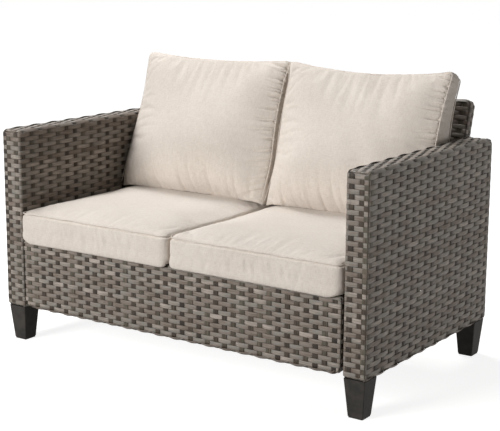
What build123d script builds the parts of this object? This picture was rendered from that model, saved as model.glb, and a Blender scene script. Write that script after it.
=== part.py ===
from build123d import *
import math
import os

# A two-seat patio loveseat that ships flat: two woven arms, a woven leaning back and a
# seat frame with a woven front apron, bolted together, on four tapered feet, with two
# seat cushions and two back cushions. All sizes are millimetres.
# The origin is on the floor under the middle of the whole loveseat, +Z is up, and the
# front faces -Y, so +X is the right-hand side as seen from the front.

os.makedirs("parts", exist_ok=True)

# Overall sizes
overall_width = 1260
back_overhang = 30  # how far the leaning back reaches behind the arms
back_height = 753  # highest point of the woven back
cut_overrun = 10  # how far a cutting shape runs past what it cuts
weave_thickness = 5  # woven skin round every panel
fit_clearance = 0.3  # between pieces that slide into each other

# Arms
arm_height = 650
arm_depth = 720
arm_thickness = 70
arm_corner_radius = 12
arm_rear_radius = 28  # the rear top corner
arm_edge_radius = 7

# Feet
foot_height = 107
foot_top = 64
foot_bottom = 45
foot_inset = 4  # from the arm's end to the foot's edge
foot_wall = 3
foot_top_plate = 6
foot_corner_radius = 3
foot_boss_diameter = 24
foot_boss_height = 12
glide_thickness = 4
glide_edge = 1  # step from the foot's edge in to the glide's
glide_plug_height = 8
foot_bolt_diameter = 8
foot_bolt_hole = 8.6
foot_bolt_head_diameter = 15
foot_bolt_head_height = 4.5
foot_bolt_socket = 5
foot_bolt_socket_depth = 3

# Steel tube of the arm, apron and back frames
tube = 20
tube_wall = 1.2
drain_hole = 5
spacer_shift = 50  # from the end of an arm to the middle of the end spacers
foot_plate_thickness = 4
foot_plate_length = 46
weld_nut_diameter = 16
weld_nut_height = 8

# Seat frame
rail = 25
rail_wall = 1.5
seat_back_gap = 5.6  # from the seat's end caps to the woven back
crossbar_spacing = 280
deck_top = 320
deck_thickness = 3
deck_edge = 3  # from the arm to the deck's edge
deck_strip = 14
deck_gaps_across = 18
deck_gaps_deep = 8
cap_flange = 3
cap_plug = 14

# Front apron
apron_bottom = 113
apron_thickness = 30
apron_bottom_radius = 30
apron_edge_radius = 5
panel_gap = 2  # from the end of the apron or back to the arm

# Back
back_lean = 16.7  # degrees from upright
back_thickness = 36
back_panel_bottom = 300  # lower edge of the weave, at its front face
back_corner_radius = 16
back_edge_radius = 8
back_post_bottom = 160
back_upright_spacing = 370

# Bolts that hold the arms, seat and back together
bolt_diameter = 6
bolt_hole = 6.6
bolt_head_diameter = 10.5
bolt_head_height = 3.3
bolt_socket = 4
bolt_socket_depth = 2
washer_diameter = 16
washer_thickness = 1.5
insert_diameter = 9
insert_length = 14
insert_bore = 6.2
insert_flange_diameter = 13
insert_flange = 1
insert_clearance = 0.2
flange_hole = 14
spacer_diameter = 16
arm_bolt_front_inset = 75  # from the front of the arm
arm_bolt_rear_inset = 55  # from the rear of the seat frame
arm_bolt_middle_shift = 20  # from halfway between the other two, rearward
back_bolt_zs = (278, 180)

# Cushions of both kinds
cushion_gap = 0.5  # from a cushion to the arm, and to the middle plane
cushion_lift = 0.3  # from a cushion to what it rests on
cover_wall = 2.5

# Seat cushions
seat_cushion_front = 1  # from the arm's front to the cushion's front
seat_cushion_back_gap = 9  # from the foot of the woven back
seat_band_height = 85  # from the deck to the top seam
seat_crown = 19
seat_crown_shoulder = 15
seat_bottom_roll = 10
seat_corner_radius = 34
seat_seam_inset = 3
seat_bottom_inset = 10
seat_shoulder_inset = 36
seat_cap_inset = 80
seat_side_draw = 5
seat_front_draw = 2

# Back cushions, measured square to their own lean
back_cushion_tilt = 5.5  # how much further they lean than the woven back, in degrees
back_cushion_thickness = 150
back_cushion_rise = 55  # above the top of the woven back
back_cushion_tuck = 42  # its base, pressed flat on the seat cushion
back_rear_shoulder = 14
back_rear_seam = 42
back_face_seam = 36  # the front seam and shoulder, measured from the front face
back_face_shoulder = 12
back_cushion_radius = 26
back_seam_inset = 4
back_shoulder_inset = 48
back_cap_inset = 120
back_side_draw = 9
back_top_draw = 13
back_base_draw = 1

# Cushion zips, each in a pocket with a stitched welt round it
zip_inset = 59.5  # from the cushion's side to the end of the zip
zip_pocket_depth = 10
zip_pocket_width = 28
zip_pocket_margin = 12
zip_welt = 4
zip_floor = 2.5
zip_slot_width = 8
zip_tape_width = 26
zip_tape_thickness = 1.6
zip_teeth_width = 5
zip_teeth_height = 1.6
zip_slider_length = 13
zip_slider_width = 9
zip_slider_height = 3.6
zip_slider_gap = 0.25
zip_pull_length = 20
zip_pull_width = 6
zip_pull_thickness = 1.2
zip_end = 10  # from the end of the teeth to the slider at rest
back_zip_shift = 10  # from the middle of the back cushion's base, rearward

# Places that follow from the sizes
half_width = overall_width / 2
overall_depth = arm_depth + back_overhang
front_y = -overall_depth / 2
rear_y = overall_depth / 2
arm_rear_y = front_y + arm_depth
arm_mid_y = front_y + arm_depth / 2
arm_mid_z = (foot_height + arm_height) / 2
arm_inner_x = half_width - arm_thickness
arm_mid_x = half_width - arm_thickness / 2
inner_loop_x = arm_inner_x + weave_thickness
outer_loop_x = half_width - weave_thickness - tube
loop_gap = outer_loop_x - inner_loop_x - tube
rail_top = deck_top - deck_thickness
rail_mid_z = rail_top - rail / 2
side_rail_x = arm_inner_x - rail / 2
crossbar_xs = (-crossbar_spacing, 0, crossbar_spacing)
apron_rear_y = front_y + apron_thickness
apron_frame_front_y = front_y + weave_thickness
apron_frame_rear_y = apron_rear_y - weave_thickness
panel_half = arm_inner_x - panel_gap

# The back's own plane: its origin is the sharp top edge of the front face, its Y runs up
# the lean and its Z points forward, out of the front face.
lean = math.radians(back_lean)
corner_excess = back_edge_radius * (math.cos(lean) + math.sin(lean) - 1)
back_origin_y = rear_y + corner_excess - back_thickness * math.cos(lean)
back_origin_z = back_height + corner_excess
back_plane = Plane(
    origin=(0, back_origin_y, back_origin_z),
    x_dir=(1, 0, 0),
    z_dir=(0, -math.cos(lean), math.sin(lean)),
)


def up_the_lean(z, forward):
    """Distance along the back's own Y at height z, for a point that far in front of it."""
    return (z - back_origin_z - forward * math.sin(lean)) / math.cos(lean)


def on_the_lean(z, forward):
    """The point at height z, that far in front of the back's front face."""
    return back_plane.from_local_coords((0, up_the_lean(z, forward), forward))


back_panel_length = -up_the_lean(back_panel_bottom, 0)
back_tube_depth = back_thickness - 2 * weave_thickness
back_mid = -back_thickness / 2
post_top = -back_corner_radius - weave_thickness
post_bottom = up_the_lean(back_post_bottom, back_mid)
post_mid_x = panel_half - weave_thickness - tube / 2
seat_rear_y = on_the_lean(rail_top - rail, 0).Y - seat_back_gap - cap_flange
front_bolt_y = front_y + arm_bolt_front_inset
rear_bolt_y = seat_rear_y - arm_bolt_rear_inset
middle_bolt_y = (front_bolt_y + rear_bolt_y) / 2 + arm_bolt_middle_shift
arm_bolt_ys = (front_bolt_y, middle_bolt_y, rear_bolt_y)
arm_bolt_points = [Vector(0, y, rail_mid_z) for y in arm_bolt_ys]
back_bolt_points = [on_the_lean(z, back_mid) for z in back_bolt_zs]
bolt_places = [(point.Y, point.Z) for point in arm_bolt_points + back_bolt_points]
foot_ys = (
    front_y + foot_inset + foot_top / 2,
    arm_rear_y - foot_inset - foot_top / 2,
)
arm_foot_places = [(arm_mid_x, y) for y in foot_ys]
all_foot_places = [(sign * arm_mid_x, y) for sign in (-1, 1) for y in foot_ys]
cushion_width = arm_inner_x - 2 * cushion_gap
cushion_mid_x = arm_inner_x / 2
zip_length = cushion_width - 2 * zip_inset
upward = (Align.CENTER, Align.CENTER, Align.MIN)
downward = (Align.CENTER, Align.CENTER, Align.MAX)


def write(part, label):
    """Labels a finished piece and writes it to its own file."""
    part.label = label
    export_step(part, f"parts/{label}.step")


def write_pair(part, label):
    """Writes a right-hand piece and its left-hand mirror image."""
    write(part, f"{label}_right")
    with BuildPart() as left:
        mirror(part, about=Plane.YZ)
    write(left.part, f"{label}_left")


# Arms: a woven skin round a welded frame of two steel loops


def arm_outline(inset):
    """The arm's side outline, taken in evenly on every side."""
    low, high = foot_height + inset, arm_height - inset
    front, rear = front_y + inset, arm_rear_y - inset
    corner = arm_corner_radius - inset
    with BuildLine() as outline:
        FilletPolyline(
            (front, low),
            (rear, low),
            (rear, high),
            (front, high),
            radius=(corner, corner, arm_rear_radius - inset, corner),
            close=True,
        )
    make_face(outline.edges())


def arm_tubes(skin, mode):
    """The arm's two loops, seat-level rail and leaning bar, or with a skin their bores."""
    window = weave_thickness + tube - skin
    for loop_x in (inner_loop_x, outer_loop_x):
        with BuildSketch(Plane.YZ.offset(loop_x + skin)) as loop:
            arm_outline(weave_thickness + skin)
            with Locations((arm_mid_y, arm_mid_z)):
                Rectangle(
                    arm_depth - 2 * window,
                    arm_height - foot_height - 2 * window,
                    mode=Mode.SUBTRACT,
                )
        extrude(loop.sketch, amount=tube - 2 * skin, mode=mode)
    bar_low = on_the_lean(foot_height + weave_thickness + tube / 2, back_mid)
    bar_high = on_the_lean(arm_height - weave_thickness - tube / 2, back_mid)
    bar_mid = (bar_low + bar_high) / 2
    with BuildSketch(Plane.YZ.offset(inner_loop_x + skin)) as bars:
        with Locations((arm_mid_y, rail_mid_z)):
            Rectangle(arm_depth - 2 * weave_thickness - tube, tube - 2 * skin)
        with Locations((bar_mid.Y, bar_mid.Z)):
            bar_length = (bar_high - bar_low).length
            Rectangle(tube - 2 * skin, bar_length, rotation=-back_lean)
    extrude(bars.sketch, amount=tube - 2 * skin, mode=mode)


with BuildPart() as arm_weave:
    with BuildSketch(Plane.YZ.offset(arm_inner_x)):
        arm_outline(0)
    extrude(amount=arm_thickness)
    fillet(arm_weave.faces().filter_by(Axis.X).edges(), arm_edge_radius)
    with BuildSketch(Plane.YZ.offset(arm_inner_x + weave_thickness)):
        arm_outline(weave_thickness)
    extrude(amount=arm_thickness - 2 * weave_thickness, mode=Mode.SUBTRACT)
    with BuildSketch(Plane.YZ.offset(arm_inner_x)):
        with Locations(bolt_places):
            Circle(flange_hole / 2)
    extrude(amount=weave_thickness, mode=Mode.SUBTRACT)
    with BuildSketch(Plane.XY.offset(foot_height)):
        with Locations(arm_foot_places):
            Circle(foot_bolt_hole / 2)
    extrude(amount=weave_thickness, mode=Mode.SUBTRACT)
write_pair(arm_weave.part, "arm_weave")

with BuildPart() as arm_frame:
    arm_tubes(0, Mode.ADD)
    spacer_ys = (front_y + spacer_shift, arm_mid_y, arm_rear_y - spacer_shift)
    spacer_mid_z = arm_height - weave_thickness - tube / 2
    with Locations([(arm_mid_x, y, spacer_mid_z) for y in spacer_ys]):
        Box(loop_gap, tube, tube)
    plate_low = foot_height + weave_thickness
    with Locations([(x, y, plate_low) for x, y in arm_foot_places]):
        Box(loop_gap, foot_plate_length, foot_plate_thickness, align=upward)
        nut_top = foot_plate_thickness + weld_nut_height
        Cylinder(weld_nut_diameter / 2, nut_top, align=upward)
    arm_tubes(tube_wall, Mode.SUBTRACT)
    with BuildSketch(Plane.YZ.offset(inner_loop_x)):
        with Locations(bolt_places):
            Circle(insert_diameter / 2 + insert_clearance)
    extrude(amount=tube_wall, mode=Mode.SUBTRACT)
    with BuildSketch(Plane.XY.offset(plate_low)):
        with Locations([(x + tube / 2, arm_mid_y) for x in (inner_loop_x, outer_loop_x)]):
            Circle(drain_hole / 2)
    extrude(amount=tube_wall, mode=Mode.SUBTRACT)
    with BuildSketch(Plane.XY.offset(plate_low)):
        with Locations(arm_foot_places):
            Circle(foot_bolt_hole / 2)
    extrude(amount=nut_top, mode=Mode.SUBTRACT)
write_pair(arm_frame.part, "arm_frame")

# Feet: hollow tapered mouldings, each with a bolt and a push-in glide


def foot_side(z):
    """Side of the square foot at height z."""
    return foot_bottom + (foot_top - foot_bottom) * z / foot_height


def foot_taper(low, high, inset, mode):
    """The foot's taper between two heights, taken in by inset on every side."""
    sections = []
    for z in (low, high):
        with BuildSketch(Plane.XY.offset(z)) as section:
            side = foot_side(z) - 2 * inset
            RectangleRounded(side, side, foot_corner_radius)
        sections.append(section.sketch)
    loft(sections, ruled=True, mode=mode)


with BuildPart() as foot:
    boss_top = foot_height - foot_top_plate
    foot_taper(glide_thickness, foot_height, 0, Mode.ADD)
    foot_taper(glide_thickness, boss_top, foot_wall, Mode.SUBTRACT)
    with BuildSketch(Plane.XY.offset(boss_top)):
        Circle(foot_boss_diameter / 2)
    extrude(amount=-foot_boss_height)
    with BuildSketch(Plane.XY.offset(foot_height)):
        Circle(foot_bolt_hole / 2)
    extrude(amount=-foot_top_plate - foot_boss_height, mode=Mode.SUBTRACT)

with BuildPart() as foot_glide:
    with BuildSketch():
        glide_side = foot_bottom - 2 * glide_edge
        RectangleRounded(glide_side, glide_side, foot_corner_radius)
    extrude(amount=glide_thickness)
    with BuildSketch(Plane.XY.offset(glide_thickness)):
        plug_side = foot_side(glide_thickness) - 2 * foot_wall - 2 * fit_clearance
        RectangleRounded(plug_side, plug_side, foot_corner_radius)
    extrude(amount=glide_plug_height)

for end, foot_y in zip(("front", "rear"), foot_ys):
    for side, sign in (("left", -1), ("right", 1)):
        with BuildPart() as placed_foot:
            with Locations((sign * arm_mid_x, foot_y, 0)):
                add(foot.part)
        write(placed_foot.part, f"foot_{end}_{side}")
        with BuildPart() as placed_glide:
            with Locations((sign * arm_mid_x, foot_y, 0)):
                add(foot_glide.part)
        write(placed_glide.part, f"foot_glide_{end}_{side}")

with BuildPart() as foot_bolts:
    head_top = boss_top - foot_boss_height
    shank_top = plate_low + foot_plate_thickness + weld_nut_height
    with Locations([(x, y, head_top) for x, y in all_foot_places]):
        Cylinder(foot_bolt_diameter / 2, shank_top - head_top, align=upward)
        Cylinder(foot_bolt_head_diameter / 2, foot_bolt_head_height, align=downward)
    with BuildSketch(Plane.XY.offset(head_top - foot_bolt_head_height)):
        with Locations(all_foot_places):
            RegularPolygon(foot_bolt_socket / 2, 6, major_radius=False)
    extrude(amount=foot_bolt_socket_depth, mode=Mode.SUBTRACT)
write(foot_bolts.part, "foot_bolts")

# Front apron: a woven skin round a frame that is part of the seat


def apron_outline(inset):
    """The apron's front outline, taken in evenly, with its lower corners rounded."""
    low, high = apron_bottom + inset, deck_top - inset
    half = panel_half - inset
    with BuildSketch() as outline:
        with Locations((0, (low + high) / 2)):
            Rectangle(2 * half, high - low)
        fillet(outline.vertices().group_by(Axis.Y)[0], apron_bottom_radius - inset)
    return outline.sketch


def apron_tubes(skin, mode):
    """The apron frame's closed loop and uprights, or with a skin their bores."""
    with BuildSketch(Plane.XZ.offset(-apron_frame_front_y - skin)) as ladder:
        add(apron_outline(weave_thickness + skin))
        add(apron_outline(weave_thickness + tube - skin), mode=Mode.SUBTRACT)
        with Locations([(x, (deck_top + apron_bottom) / 2) for x in crossbar_xs]):
            upright = deck_top - apron_bottom - 2 * weave_thickness - tube
            Rectangle(tube - 2 * skin, upright)
    depth = apron_frame_rear_y - apron_frame_front_y - 2 * skin
    extrude(ladder.sketch, amount=-depth, mode=mode)


with BuildPart() as apron_weave:
    with BuildSketch(Plane.XZ.offset(-front_y)):
        add(apron_outline(0))
    extrude(amount=-apron_thickness)
    fillet(apron_weave.faces().filter_by(Axis.Y).edges(), apron_edge_radius)
    with BuildSketch(Plane.XZ.offset(-apron_frame_front_y)):
        add(apron_outline(weave_thickness))
    extrude(amount=apron_frame_front_y - apron_frame_rear_y, mode=Mode.SUBTRACT)
    with BuildSketch(Plane.XZ.offset(-apron_frame_rear_y)):
        hole = rail + 2 * fit_clearance
        with Locations([(x, rail_mid_z) for x in (-side_rail_x, *crossbar_xs, side_rail_x)]):
            Rectangle(hole, hole)
    extrude(amount=-weave_thickness, mode=Mode.SUBTRACT)
write(apron_weave.part, "apron_weave")

with BuildPart() as apron_frame:
    apron_tubes(0, Mode.ADD)
    apron_tubes(tube_wall, Mode.SUBTRACT)
    with BuildSketch(Plane.XY.offset(apron_bottom + weave_thickness)):
        with Locations((0, (apron_frame_front_y + apron_frame_rear_y) / 2)):
            Circle(drain_hole / 2)
    extrude(amount=tube_wall, mode=Mode.SUBTRACT)
write(apron_frame.part, "apron_frame")

# Seat frame: side rails against the arms, a rear rail and three crossbars


def rail_section():
    """The hollow square section of the seat's rails."""
    Rectangle(rail, rail)
    Rectangle(rail - 2 * rail_wall, rail - 2 * rail_wall, mode=Mode.SUBTRACT)


with BuildPart() as side_rail:
    with BuildSketch(Plane.XZ.offset(-apron_frame_rear_y)):
        with Locations((side_rail_x, rail_mid_z)):
            rail_section()
    extrude(amount=apron_frame_rear_y - seat_rear_y)
    with BuildSketch(Plane.YZ.offset(arm_inner_x - rail)):
        with Locations([(point.Y, point.Z) for point in arm_bolt_points]):
            Circle(bolt_hole / 2)
    extrude(amount=rail, mode=Mode.SUBTRACT)
write_pair(side_rail.part, "seat_side_rail")

for place, crossbar_x in zip(("left", "middle", "right"), crossbar_xs):
    with BuildPart() as crossbar:
        with BuildSketch(Plane.XZ.offset(-apron_frame_rear_y)):
            with Locations((crossbar_x, rail_mid_z)):
                rail_section()
        extrude(amount=apron_frame_rear_y - seat_rear_y + rail)
    write(crossbar.part, f"seat_crossbar_{place}")

with BuildPart() as rear_rail:
    with BuildSketch(Plane.YZ.offset(-(arm_inner_x - rail))):
        with Locations((seat_rear_y - rail / 2, rail_mid_z)):
            rail_section()
    extrude(amount=2 * (arm_inner_x - rail))
write(rear_rail.part, "seat_rear_rail")

with BuildPart() as rail_caps:
    cap_places = ((-side_rail_x, rail_mid_z), (side_rail_x, rail_mid_z))
    with BuildSketch(Plane.XZ.offset(-seat_rear_y)):
        with Locations(cap_places):
            Rectangle(rail, rail)
    extrude(amount=-cap_flange)
    with BuildSketch(Plane.XZ.offset(-seat_rear_y)):
        with Locations(cap_places):
            Rectangle(rail - 2 * rail_wall, rail - 2 * rail_wall)
    extrude(amount=cap_plug)
write(rail_caps.part, "seat_rail_caps")

# Seat deck: an open lattice of flat strips over the rails
with BuildPart() as seat_deck:
    deck_width = 2 * (arm_inner_x - deck_edge)
    deck_depth = seat_rear_y - apron_rear_y
    pitch_x = (deck_width - deck_strip) / deck_gaps_across
    pitch_y = (deck_depth - deck_strip) / deck_gaps_deep
    with BuildSketch(Plane.XY.offset(rail_top)):
        with Locations((0, (apron_rear_y + seat_rear_y) / 2)):
            Rectangle(deck_width, deck_depth)
            with GridLocations(pitch_x, pitch_y, deck_gaps_across, deck_gaps_deep):
                Rectangle(pitch_x - deck_strip, pitch_y - deck_strip, mode=Mode.SUBTRACT)
    extrude(amount=deck_thickness)
write(seat_deck.part, "seat_deck")

# Back: a woven skin round a welded frame whose two posts run on below the weave


def back_outline(inset):
    """The woven back's outline in its own plane, taken in evenly on every side."""
    with Locations((0, -back_panel_length / 2)):
        RectangleRounded(
            2 * (panel_half - inset),
            back_panel_length - 2 * inset,
            back_corner_radius - inset,
        )


with BuildPart() as back_weave:
    with BuildSketch(back_plane):
        back_outline(0)
    extrude(amount=-back_thickness)
    flat_faces = back_weave.faces().filter_by(Axis(back_plane.origin, back_plane.z_dir))
    fillet(flat_faces.edges(), back_edge_radius)
    with BuildSketch(back_plane.offset(-weave_thickness)):
        back_outline(weave_thickness)
    extrude(amount=-back_tube_depth, mode=Mode.SUBTRACT)
    with BuildSketch(back_plane.offset(-weave_thickness)):
        with Locations([(x, -back_panel_length) for x in (-post_mid_x, post_mid_x)]):
            Rectangle(tube + 2 * fit_clearance, 2 * back_corner_radius)
    extrude(amount=-back_tube_depth, mode=Mode.SUBTRACT)
write(back_weave.part, "back_weave")

with BuildPart() as back_post:
    post_length = post_top - post_bottom
    post_middle = (post_mid_x, (post_top + post_bottom) / 2)
    with BuildSketch(back_plane.offset(-weave_thickness)):
        with Locations(post_middle):
            Rectangle(tube, post_length)
    extrude(amount=-back_tube_depth)
    with BuildSketch(back_plane.offset(-weave_thickness - tube_wall)):
        with Locations(post_middle):
            Rectangle(tube - 2 * tube_wall, post_length)
    extrude(amount=-(back_tube_depth - 2 * tube_wall), mode=Mode.SUBTRACT)
    with BuildSketch(Plane.YZ.offset(post_mid_x - tube / 2)):
        with Locations([(point.Y, point.Z) for point in back_bolt_points]):
            Circle(bolt_hole / 2)
    extrude(amount=tube, mode=Mode.SUBTRACT)
write_pair(back_post.part, "back_post")


def back_tubes(skin, mode):
    """The back's two rails and two uprights between the posts, or their bores."""
    top_mid = post_top - tube / 2
    low_mid = weave_thickness + tube / 2 - back_panel_length
    with BuildSketch(back_plane.offset(-weave_thickness - skin)) as ladder:
        with Locations((0, top_mid), (0, low_mid)):
            Rectangle(2 * post_mid_x - tube, tube - 2 * skin)
        with Locations((0, (top_mid + low_mid) / 2)):
            with GridLocations(back_upright_spacing, 0, 2, 1):
                Rectangle(tube - 2 * skin, top_mid - low_mid)
    extrude(ladder.sketch, amount=-(back_tube_depth - 2 * skin), mode=mode)


with BuildPart() as back_rails:
    back_tubes(0, Mode.ADD)
    back_tubes(tube_wall, Mode.SUBTRACT)
write(back_rails.part, "back_rails")

with BuildPart() as back_caps:
    with BuildSketch(back_plane.offset(-weave_thickness)):
        cap_mid = post_bottom - cap_flange / 2
        with Locations((-post_mid_x, cap_mid), (post_mid_x, cap_mid)):
            Rectangle(tube, cap_flange)
    extrude(amount=-back_tube_depth)
    with BuildSketch(back_plane.offset(-weave_thickness - tube_wall)):
        plug_mid = post_bottom + cap_plug / 2
        with Locations((-post_mid_x, plug_mid), (post_mid_x, plug_mid)):
            Rectangle(tube - 2 * tube_wall, cap_plug)
    extrude(amount=-(back_tube_depth - 2 * tube_wall))
write(back_caps.part, "back_post_caps")

# Fasteners: bolts run outward along X into threaded inserts in the arm's inner loop


def at_points(x, points):
    """Places x from the middle on both sides, each facing the nearer arm."""
    right = [Location((x, point.Y, point.Z), (0, 90, 0)) for point in points]
    left = [Location((-x, point.Y, point.Z), (0, -90, 0)) for point in points]
    return right + left


def bolt_set(seat_x, points):
    """Button-head bolts whose heads bear on washers at seat_x."""
    head_x = seat_x - washer_thickness
    with Locations(at_points(head_x, points)):
        shank = inner_loop_x + insert_length - head_x
        Cylinder(bolt_diameter / 2, shank, align=upward)
        Cylinder(bolt_head_diameter / 2, bolt_head_height, align=downward)
    sockets = [Plane(place) for place in at_points(head_x - bolt_head_height, points)]
    with BuildSketch(*sockets) as socket:
        RegularPolygon(bolt_socket / 2, 6, major_radius=False)
    extrude(socket.sketch, amount=bolt_socket_depth, mode=Mode.SUBTRACT)


def ring_set(seat_x, points, diameter, length, align):
    """Washers or spacers round the bolts, on one side of seat_x."""
    with Locations(at_points(seat_x, points)):
        Cylinder(diameter / 2, length, align=align)
        Cylinder(bolt_hole / 2, length, align=align, mode=Mode.SUBTRACT)


rail_seat_x = arm_inner_x - rail
post_seat_x = post_mid_x - tube / 2
post_outer_x = post_mid_x + tube / 2
with BuildPart() as arm_bolts:
    bolt_set(rail_seat_x, arm_bolt_points)
write(arm_bolts.part, "arm_bolts")

with BuildPart() as arm_washers:
    ring_set(rail_seat_x, arm_bolt_points, washer_diameter, washer_thickness, downward)
write(arm_washers.part, "arm_washers")

with BuildPart() as back_bolts:
    bolt_set(post_seat_x, back_bolt_points)
write(back_bolts.part, "back_bolts")

with BuildPart() as back_washers:
    ring_set(post_seat_x, back_bolt_points, washer_diameter, washer_thickness, downward)
write(back_washers.part, "back_washers")

with BuildPart() as back_spacers:
    spacer_length = arm_inner_x - post_outer_x
    ring_set(post_outer_x, back_bolt_points, spacer_diameter, spacer_length, upward)
write(back_spacers.part, "back_spacers")

with BuildPart() as inserts:
    insert_points = arm_bolt_points + back_bolt_points
    with Locations(at_points(inner_loop_x, insert_points)):
        Cylinder(insert_diameter / 2, insert_length, align=upward)
        Cylinder(insert_flange_diameter / 2, insert_flange, align=downward)
    with Locations(at_points(inner_loop_x - insert_flange, insert_points)):
        bore_length = insert_length + insert_flange
        Cylinder(insert_bore / 2, bore_length, align=upward, mode=Mode.SUBTRACT)
write(inserts.part, "threaded_inserts")

# Cushions: a sewn cover with crowned faces and drawn-in sides, filled by a soft core


def sewn_outline(plane, width, length, radius, draws):
    """One level of a cushion, each side drawn in between its rounded corners."""
    side_draw, high_draw, low_draw = draws
    x, y = width / 2, length / 2
    with BuildSketch(plane) as level:
        with BuildLine():
            ThreePointArc((-x, -y), (0, low_draw - y), (x, -y))
            ThreePointArc((x, -y), (x - side_draw, 0), (x, y))
            ThreePointArc((x, y), (0, y - high_draw), (-x, y))
            ThreePointArc((-x, y), (side_draw - x, 0), (-x, -y))
        make_face()
        fillet(level.vertices(), radius)
    return level.sketch


def crowned_form(plane, width, length, radius, draws, levels, shrink, mode):
    """A loft through a cushion's levels, each (height, inset), smaller all round by shrink."""
    full_height = levels[-1][0]
    squeeze = (full_height - 2 * shrink) / full_height
    sections = []
    for height, inset in levels:
        margin = 2 * (inset + shrink)
        level_plane = plane.offset(shrink + height * squeeze)
        sections.append(
            sewn_outline(level_plane, width - margin, length - margin, radius - shrink, draws)
        )
    loft(sections, ruled=True, mode=mode)


def zip_welt_block(plane, grow, mode):
    """The block of folded cloth round a zip's pocket, from its floor outward."""
    sides = 2 * (zip_welt + grow)
    with BuildSketch(plane.offset(-zip_floor - grow)) as block:
        Rectangle(
            zip_length + 2 * zip_pocket_margin + sides, zip_pocket_width + sides
        )
    depth = zip_floor + zip_pocket_depth + cut_overrun + grow
    extrude(block.sketch, amount=depth, mode=mode)


def zip_pocket(plane):
    """The long pocket for a zip, and the slot in its floor that the zip closes."""
    with BuildSketch(plane) as pocket:
        Rectangle(zip_length + 2 * zip_pocket_margin, zip_pocket_width)
    extrude(pocket.sketch, amount=zip_pocket_depth + cut_overrun, mode=Mode.SUBTRACT)
    with BuildSketch(plane) as slot:
        Rectangle(zip_length, zip_slot_width)
    extrude(slot.sketch, amount=-zip_floor - cut_overrun, mode=Mode.SUBTRACT)


def zip_tape(plane):
    """The zip's tape, sewn to the floor of its pocket, with its row of teeth."""
    with BuildSketch(plane) as tape:
        Rectangle(zip_length + zip_pocket_margin, zip_tape_width)
    extrude(tape.sketch, amount=zip_tape_thickness)
    with BuildSketch(plane.offset(zip_tape_thickness)) as teeth:
        Rectangle(zip_length, zip_teeth_width)
    extrude(teeth.sketch, amount=zip_teeth_height)


def zip_slider(plane):
    """The slider, astride the teeth at one end, with its flat pull."""
    mid_x = (zip_slider_length - zip_length) / 2 + zip_end
    body_plane = plane.offset(zip_tape_thickness + zip_slider_gap)
    with BuildSketch(body_plane) as body:
        with Locations((mid_x, 0)):
            Rectangle(zip_slider_length, zip_slider_width)
    extrude(body.sketch, amount=zip_slider_height)
    with BuildSketch(body_plane) as channel:
        with Locations((mid_x, 0)):
            Rectangle(zip_slider_length, zip_teeth_width + 2 * zip_slider_gap)
    extrude(channel.sketch, amount=zip_teeth_height, mode=Mode.SUBTRACT)
    with BuildSketch(body_plane.offset(zip_slider_height)) as pull:
        with Locations((mid_x + zip_pull_length / 2, 0)):
            SlotOverall(zip_pull_length, zip_pull_width)
    extrude(pull.sketch, amount=zip_pull_thickness)


def write_cushion(form, zip_plane, name, core_name):
    """Writes a cushion's cover, core, zip and slider, made from its form(shrink, mode)."""
    with BuildPart() as hollow:
        form(cover_wall, Mode.ADD)
        zip_welt_block(zip_plane, 0, Mode.SUBTRACT)
    with BuildPart() as cover:
        form(0, Mode.ADD)
        add(hollow.part, mode=Mode.SUBTRACT)
        zip_pocket(zip_plane)
    write_pair(cover.part, f"{name}_cover")
    with BuildPart() as core:
        form(cover_wall + fit_clearance, Mode.ADD)
        zip_welt_block(zip_plane, fit_clearance, Mode.SUBTRACT)
    write_pair(core.part, f"{name}_{core_name}")
    with BuildPart() as tape:
        zip_tape(zip_plane)
    write_pair(tape.part, f"{name}_zip")
    with BuildPart() as slider:
        zip_slider(zip_plane)
    write_pair(slider.part, f"{name}_zip_slider")



# Seat cushions
seat_front_y = front_y + seat_cushion_front
seat_cushion_rear_y = on_the_lean(deck_top, 0).Y - seat_cushion_back_gap
seat_length = seat_cushion_rear_y - seat_front_y
seat_low = deck_top + cushion_lift
seat_mid_y = (seat_front_y + seat_cushion_rear_y) / 2
seat_levels = (
    (0, seat_bottom_inset),
    (seat_bottom_roll, seat_seam_inset),
    (seat_band_height / 2, 0),
    (seat_band_height, seat_seam_inset),
    (seat_band_height + seat_crown_shoulder, seat_shoulder_inset),
    (seat_band_height + seat_crown, seat_cap_inset),
)
seat_zip_plane = Plane(
    origin=(
        cushion_mid_x,
        seat_cushion_rear_y - zip_pocket_depth,
        seat_low + seat_band_height / 2,
    ),
    x_dir=(1, 0, 0),
    z_dir=(0, 1, 0),
)


def seat_form(shrink, mode):
    """The seat cushion's whole form, lying on the deck."""
    crowned_form(
        Plane((cushion_mid_x, seat_mid_y, seat_low)),
        cushion_width,
        seat_length,
        seat_corner_radius,
        (seat_side_draw, seat_front_draw, seat_front_draw),
        seat_levels,
        shrink,
        mode,
    )


write_cushion(seat_form, seat_zip_plane, "seat_cushion", "foam")

# Back cushions, which lean on the woven back and stand on the seat cushions
back_low = seat_low + seat_band_height + seat_crown + cushion_lift
cushion_lean = lean + math.radians(back_cushion_tilt)
touching_y = back_cushion_rise - back_cap_inset
cushion_plane = Plane(
    origin=back_plane.from_local_coords((0, touching_y, cushion_lift)),
    x_dir=(1, 0, 0),
    z_dir=(0, -math.cos(cushion_lean), math.sin(cushion_lean)),
)


def up_the_cushion(z, forward):
    """Distance along the back cushion's own Y at height z, that far in front of its rear."""
    drop = z - cushion_plane.origin.Z - forward * math.sin(cushion_lean)
    return drop / math.cos(cushion_lean)


def on_the_cushion(z, forward):
    """The point at height z, that far in front of the back cushion's rear."""
    return cushion_plane.from_local_coords((0, up_the_cushion(z, forward), forward))


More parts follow.
